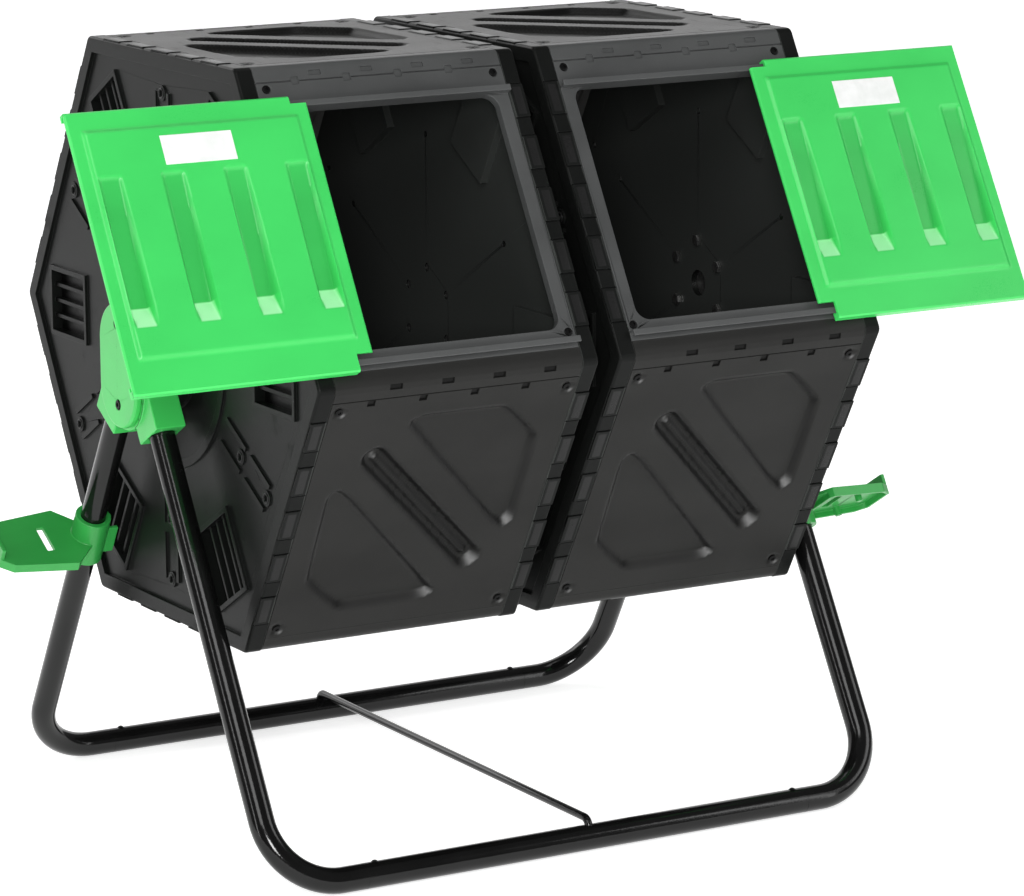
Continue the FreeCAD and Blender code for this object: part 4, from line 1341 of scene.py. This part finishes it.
@dataclass
class Doors:
    """The two sliding doors, with their pull channels and hooked edges, and their blank labels.

    Heights are measured outward from the drum's face, v up the face from its middle.
    """

    shop: Workshop
    half_length: float = 0.1235
    top: float = 0.1266
    bottom: float = -0.1496
    plate_level: float = 0.0115
    wall: float = 0.0030
    floor_wall: float = 0.0020
    edge_round: float = 0.0016
    panel_rise: float = 0.0030
    panel_margin: float = 0.012
    panel_top: float = 0.108
    panel_bottom: float = -0.118
    channel_pitch: float = 0.0635
    channels: int = 4
    channel_half: float = 0.0128
    channel_slope: float = 0.0042
    channel_top: float = 0.061
    channel_deepest: float = -0.066
    channel_bottom: float = -0.087
    channel_start: float = 0.0026
    channel_depth: float = 0.0096
    channel_shadow: float = 0.34
    shadow_depth: float = 0.004
    notch_reach: float = 0.018
    notch_top: float = 0.118
    notch_bottom: float = -0.132
    hook_levels: tuple[float, float] = (0.0022, 0.0048)
    upper_hook: tuple[float, float] = (0.1202, 0.1240)
    lower_hook: tuple[float, float] = (-0.1435, -0.1397)
    mesh_step: float = 0.0016

    def build(self) -> None:
        """Build and dress both doors."""
        for side in Side:
            self._door(side)
            rounded_copy(f"{side.label}_door_label", self.shop.finishes.label, Turn.CRISP)

    def _channel_fall(self, v: float) -> float:
        """How deep a channel's floor lies at a height on the door.

        Args:
            v: Height on the door.

        Returns:
            The depth below the raised panel.
        """
        if not self.channel_bottom < v < self.channel_top:
            return 0.0
        if v < self.channel_deepest:
            share = (v - self.channel_bottom) / (self.channel_deepest - self.channel_bottom)
            return self.channel_depth * share
        share = (self.channel_top - v) / (self.channel_top - self.channel_deepest)
        fall = self.channel_start + (self.channel_depth - self.channel_start) * share ** 1.35
        return fall * eased((self.channel_top - v) / self.channel_slope)

    def _level(self, u: float, v: float) -> float:
        """Height of the door's outer surface.

        Args:
            u: Place along the axle, from the door's middle.
            v: Height on the door.

        Returns:
            The height over the drum's face.
        """
        edge = min(self.half_length - abs(u), self.top - v, v - self.bottom)
        shortfall = 1 - min(1.0, edge / self.edge_round)
        level = self.plate_level - self.edge_round * (1 - math.sqrt(1 - shortfall * shortfall))
        inset = min(self.half_length - self.panel_margin - abs(u), self.panel_top - v, v - self.panel_bottom)
        level += self.panel_rise * eased(inset / (self.panel_rise * 1.4))
        return level - self._channel_fall(v) * self._in_channel(u)

    def _in_channel(self, u: float) -> float:
        """How far a place lies within the width of a channel, from 0 to 1."""
        row = u / self.channel_pitch + (self.channels - 1) / 2
        nearest = min(self.channels - 1, max(0, round(row)))
        across = abs(row - nearest) * self.channel_pitch
        return eased((self.channel_half - across) / self.channel_slope)

    def _kept(self, u: float, v: float, inner: int) -> bool:
        """Whether a place is on the door and not in one of its notches."""
        in_reach = u * inner > self.half_length - self.notch_reach
        return not (in_reach and not self.notch_bottom < v < self.notch_top)

    def _door(self, side: Side) -> None:
        """One door.

        Args:
            side: Left or right.
        """
        node = f"{side.label}_door"
        place = face_frame(side, node, DOOR_ANGLE)
        columns = round(2 * self.half_length / self.mesh_step)
        rows = round((self.top - self.bottom) / self.mesh_step)
        work = bmesh.new()
        skins: tuple[dict, dict] = ({}, {})

        def corner(skin: int, column: int, row: int) -> bmesh.types.BMVert:
            """The corner of a cell, on the outer or the inner skin."""
            key = (column, row)
            if key not in skins[skin]:
                u = (column / columns * 2 - 1) * self.half_length
                v = self.bottom + row / rows * (self.top - self.bottom)
                level = self._level(u, v)
                if skin:
                    level = min(self.plate_level - self.wall, level - self.floor_wall)
                skins[skin][key] = work.verts.new(place @ Vector((u, v, level)))
            return skins[skin][key]

        def present(column: int, row: int) -> bool:
            """Whether the door has this cell."""
            if not (0 <= column < columns and 0 <= row < rows):
                return False
            u = ((column + 0.5) / columns * 2 - 1) * self.half_length
            v = self.bottom + (row + 0.5) / rows * (self.top - self.bottom)
            return self._kept(u, v, -side.value)

        for column in range(columns):
            for row in range(rows):
                if not present(column, row):
                    continue
                ring = [(column, row), (column + 1, row), (column + 1, row + 1), (column, row + 1)]
                work.faces.new([corner(0, *spot) for spot in ring])
                work.faces.new([corner(1, *spot) for spot in reversed(ring)])
                beyond = [(column, row - 1), (column + 1, row), (column, row + 1), (column - 1, row)]
                for index, neighbour in enumerate(beyond):
                    if not present(*neighbour):
                        start, stop = ring[index], ring[(index + 1) % len(ring)]
                        work.faces.new((corner(1, *start), corner(1, *stop), corner(0, *stop),
                                        corner(0, *start)))
        self._hooks(work, place, side)
        piece = new_piece(f"{node}_moulded", mesh_from(work, f"{node}_skin", self.shop.finishes.door))
        shade(piece, 40.0)
        self._mark(piece.data, place)
        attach(piece, node)
        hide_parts(node)
        LOG.info("%s: %d faces", piece.name, len(piece.data.polygons))

    def _mark(self, mesh: bpy.types.Mesh, place: Matrix) -> None:
        """Mark the channels of a door for painted shadow, and the facet at the foot of each one for a painted
        highlight.

        Args:
            mesh: The door's mesh.
            place: The frame of the drum's face under the door.
        """
        to_face = place.inverted()
        recess, glint = [], []
        for vertex in mesh.vertices:
            u, v, _ = to_face @ vertex.co
            within = self._in_channel(u)
            foot = self.channel_bottom < v < self.channel_deepest
            # Painted shadow deepening with the channel, painted highlight on each channel's foot facet.
            shadow = within * min(1.0, self._channel_fall(v) / self.shadow_depth) * self.channel_shadow
            recess.append(0.0 if foot else shadow)
            glint.append(float(foot and within > 0.9))
        carry(mesh, "recess", recess)
        carry(mesh, "glint", glint)

    def _hooks(self, work: bmesh.types.BMesh, place: Matrix, side: Side) -> None:
        """The hooked flanges that hold a door's two long edges under the rails' lips.

        Args:
            work: The bmesh that they are added to.
            place: The frame of the drum's face under the door.
            side: Left or right.
        """
        lift = self.plate_level - self.wall + 0.0002
        low, high = self.hook_levels
        upper, lower = self.upper_hook, self.lower_hook
        sections = (((upper[1], lift), (upper[1], high), (upper[0], high), (upper[0], low),
                     (self.top, low), (self.top, lift)),
                    ((lower[0], lift), (self.bottom, lift), (self.bottom, low), (lower[1], low),
                     (lower[1], high), (lower[0], high)))
        ends = sorted((side.value * self.half_length, -side.value * (self.half_length - self.notch_reach)))
        for section in sections:
            prism(work, *([place @ Vector((u, v, level)) for v, level in section] for u in ends))


# ---- stand --------------------------------------------------------------------------------


@dataclass
class Stand:
    """The bent-tube stand with its hubs and lock levers."""

    shop: Workshop
    floor_bend: float = 0.068
    rail_half_length: float = 0.250
    leg_top_gap: float = 0.045
    bend_steps: int = 20
    rod_bend: float = 0.009
    rod_steps: int = 10
    hub_screw: Fastener = Fastener("hub_screw", 0.0050, 0.0026, 0.002, 0.004, 24, 0.0016)

    def build(self) -> None:
        """Build and dress the stand."""
        finishes = self.shop.finishes
        across = Vector((1, 0, 0))
        for side in Side:
            for way in Way:
                self._leg(side, way)
            rounded_copy(f"{side.label}_hub_housing", finishes.hub, Turn.SOFT)
            rounded_copy(f"{side.label}_hub_cover", finishes.hub)
            rounded_copy(f"{side.label}_bushing", finishes.nylon, Turn.CRISP)
            self.shop.fasten(f"{side.label}_hub_screws", self.hub_screw, finishes.black_steel,
                             across * side.value)
            rounded_copy(f"{side.label}_lock_lever", finishes.lever)
            dress(f"{side.label}_lever_screw", finishes.zinc)
        for way in Way:
            rounded_copy(f"{way.label}_floor_rail", finishes.tube, Turn.CRISP)
        self._rod()
        dress("rail_screws", finishes.black_steel)

    def _leg(self, side: Side, way: Way) -> None:
        """A leg with its bend into the floor rail.

        Args:
            side: Left or right.
            way: Front or back.
        """
        node = f"{way.label}_{side.label}_leg"
        low, high = box_of(f"{way.label}_floor_rail")
        radius = (high.z - low.z) / 2
        depth = (high.y + low.y) / 2
        reach = (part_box(node)[1][0] if side is Side.RIGHT else -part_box(node)[0][0]) - radius
        foot = Vector((0, depth, radius))
        up = Vector((0, -depth, AXLE.z - radius))
        length = up.length
        up.normalize()
        bend = self.floor_bend
        outline = [(reach, length - self.leg_top_gap), (reach, bend)]
        for step in range(1, self.bend_steps + 1):
            turn = math.radians(90 * step / self.bend_steps)
            outline.append((reach - bend + bend * math.cos(turn), bend - bend * math.sin(turn)))
        outline.append((self.rail_half_length, 0.0))
        path = [foot + Vector((side.value * x, 0, 0)) + up * z for x, z in outline]
        self.shop.tube(node, path, radius)

    def _rod(self) -> None:
        """The spacer rod, with its ends turned down into the floor rails."""
        low, high = box_of("spacer_rod")
        rail_low, rail_high = box_of("back_floor_rail")
        radius = (high.x - low.x) / 2
        depth = (rail_low.y + rail_high.y) / 2
        level = high.z - radius
        bend = self.rod_bend
        half = []
        for step in range(self.rod_steps + 1):
            turn = math.radians(90 * step / self.rod_steps)
            half.append((depth - bend + bend * math.cos(turn), level - bend + bend * math.sin(turn)))
        half.insert(0, (depth, low.z))
        path = [Vector((0, y, z)) for y, z in half] + [Vector((0, -y, z)) for y, z in reversed(half)]
        self.shop.tube("spacer_rod", path, radius)


def dress(node: str, finish: bpy.types.Material) -> None:
    """Give a CAD node a finish.

    Args:
        node: The CAD node.
        finish: Its material.
    """
    mesh = frame["nodes"][node].data
    mesh.materials.clear()
    mesh.materials.append(finish)


# ---- studio -------------------------------------------------------------------------------


@dataclass(frozen=True)
class SoftBox:
    """One soft light, aimed at the middle of the tumbler."""

    name: str
    place: tuple[float, float, float]
    width: float
    height: float
    power: float


@dataclass
class Studio:
    """Floor, light and camera."""

    shop: Workshop
    yaw: float = 29.99
    pitch: float = 11.74
    roll: float = -0.36
    distance: float = 4.603
    focal_length: float = 157.81
    surround: float = 0.14
    floor_reach: float = 14.0
    floor_sweep: float = 3.0
    floor_steps: int = 12
    aim_point: tuple[float, float, float] = (0.0, 0.0, 0.45)
    target: Vector = field(default_factory=lambda: Vector((0.0792, 0.0, 0.3427)))
    lights: tuple[SoftBox, ...] = (SoftBox("key", (-2.6, -3.4, 3.6), 2.0, 2.0, 60),
                                   SoftBox("fill", (3.6, -2.6, 2.2), 1.8, 1.8, 30),
                                   SoftBox("top", (0.2, 0.2, 4.2), 2.0, 2.0, 20),
                                   SoftBox("front", (-2.2, -4.0, 1.5), 1.0, 1.0, 90),
                                   SoftBox("rim", (-1.5, 3.4, 2.6), 2.0, 2.0, 30),
                                   SoftBox("left_strip", (-3.0, -0.6, 1.2), 0.3, 2.4, 12),
                                   SoftBox("right_strip", (2.2, -3.0, 1.1), 0.3, 2.2, 9))

    def build(self) -> None:
        """Set up the studio."""
        self._floor()
        self._lights()
        self._camera()

    def _floor(self) -> None:
        """A wide pale floor that curves up far behind the tumbler."""
        work = bmesh.new()
        reach, sweep = self.floor_reach, self.floor_sweep
        back = reach * 0.45
        profile = [(-reach, 0.0), (back, 0.0)]
        for step in range(1, self.floor_steps + 1):
            turn = math.radians(90 * step / self.floor_steps)
            profile.append((back + sweep * math.sin(turn), sweep - sweep * math.cos(turn)))
        profile.append((back + sweep, sweep * 3))
        rows = [[work.verts.new((x, y, z)) for y, z in profile] for x in (-reach, reach)]
        for index in range(len(profile) - 1):
            work.faces.new((rows[0][index], rows[1][index], rows[1][index + 1], rows[0][index + 1]))
        floor = new_piece("studio_floor", mesh_from(work, "studio_floor", self.shop.finishes.paper))
        shade(floor)

    def _lights(self) -> None:
        """The soft boxes and an even pale surround."""
        for box in self.lights:
            lamp = bpy.data.lights.new(box.name, "AREA")
            lamp.shape = "RECTANGLE"
            lamp.energy = box.power
            lamp.size = box.width
            lamp.size_y = box.height
            item = bpy.data.objects.new(box.name, lamp)
            item.location = box.place
            aim = Vector(self.aim_point) - Vector(box.place)
            item.rotation_euler = aim.to_track_quat("-Z", "Y").to_euler()
            bpy.context.scene.collection.objects.link(item)
        world = bpy.data.worlds.new("surround")
        world.use_nodes = True
        sky = world.node_tree.nodes["Background"]
        sky.inputs["Color"].default_value = (1.0, 1.0, 1.0, 1.0)
        sky.inputs["Strength"].default_value = self.surround
        bpy.context.scene.world = world
        bpy.context.scene.view_settings.view_transform = "Standard"

    def _camera(self) -> None:
        """The camera at the front, to the left and a little above."""
        yaw = math.radians(self.yaw)
        pitch = math.radians(self.pitch)
        roll = math.radians(self.roll)
        ahead = Vector((math.sin(yaw) * math.cos(pitch), math.cos(yaw) * math.cos(pitch), -math.sin(pitch)))
        across = Vector((math.cos(yaw), -math.sin(yaw), 0))
        upward = across.cross(ahead)
        right = across * math.cos(roll) + upward * math.sin(roll)
        top = upward * math.cos(roll) - across * math.sin(roll)
        lens = bpy.data.cameras.new("camera")
        lens.lens = self.focal_length
        lens.clip_end = 100
        camera = bpy.data.objects.new("camera", lens)
        turn = Matrix((right, top, -ahead)).transposed().to_4x4()
        camera.matrix_world = Matrix.Translation(self.target - ahead * self.distance) @ turn
        bpy.context.scene.collection.objects.link(camera)
        bpy.context.scene.camera = camera


def main() -> None:
    """Build the tumbler and its studio."""
    logging.basicConfig(level=logging.INFO, format="%(name)s %(message)s")
    shop = Workshop()
    for part in (Drum(shop), Doors(shop), Stand(shop), Studio(shop)):
        part.build()
        LOG.info("%s done", type(part).__name__)


if __name__ == "__main__":
    main()
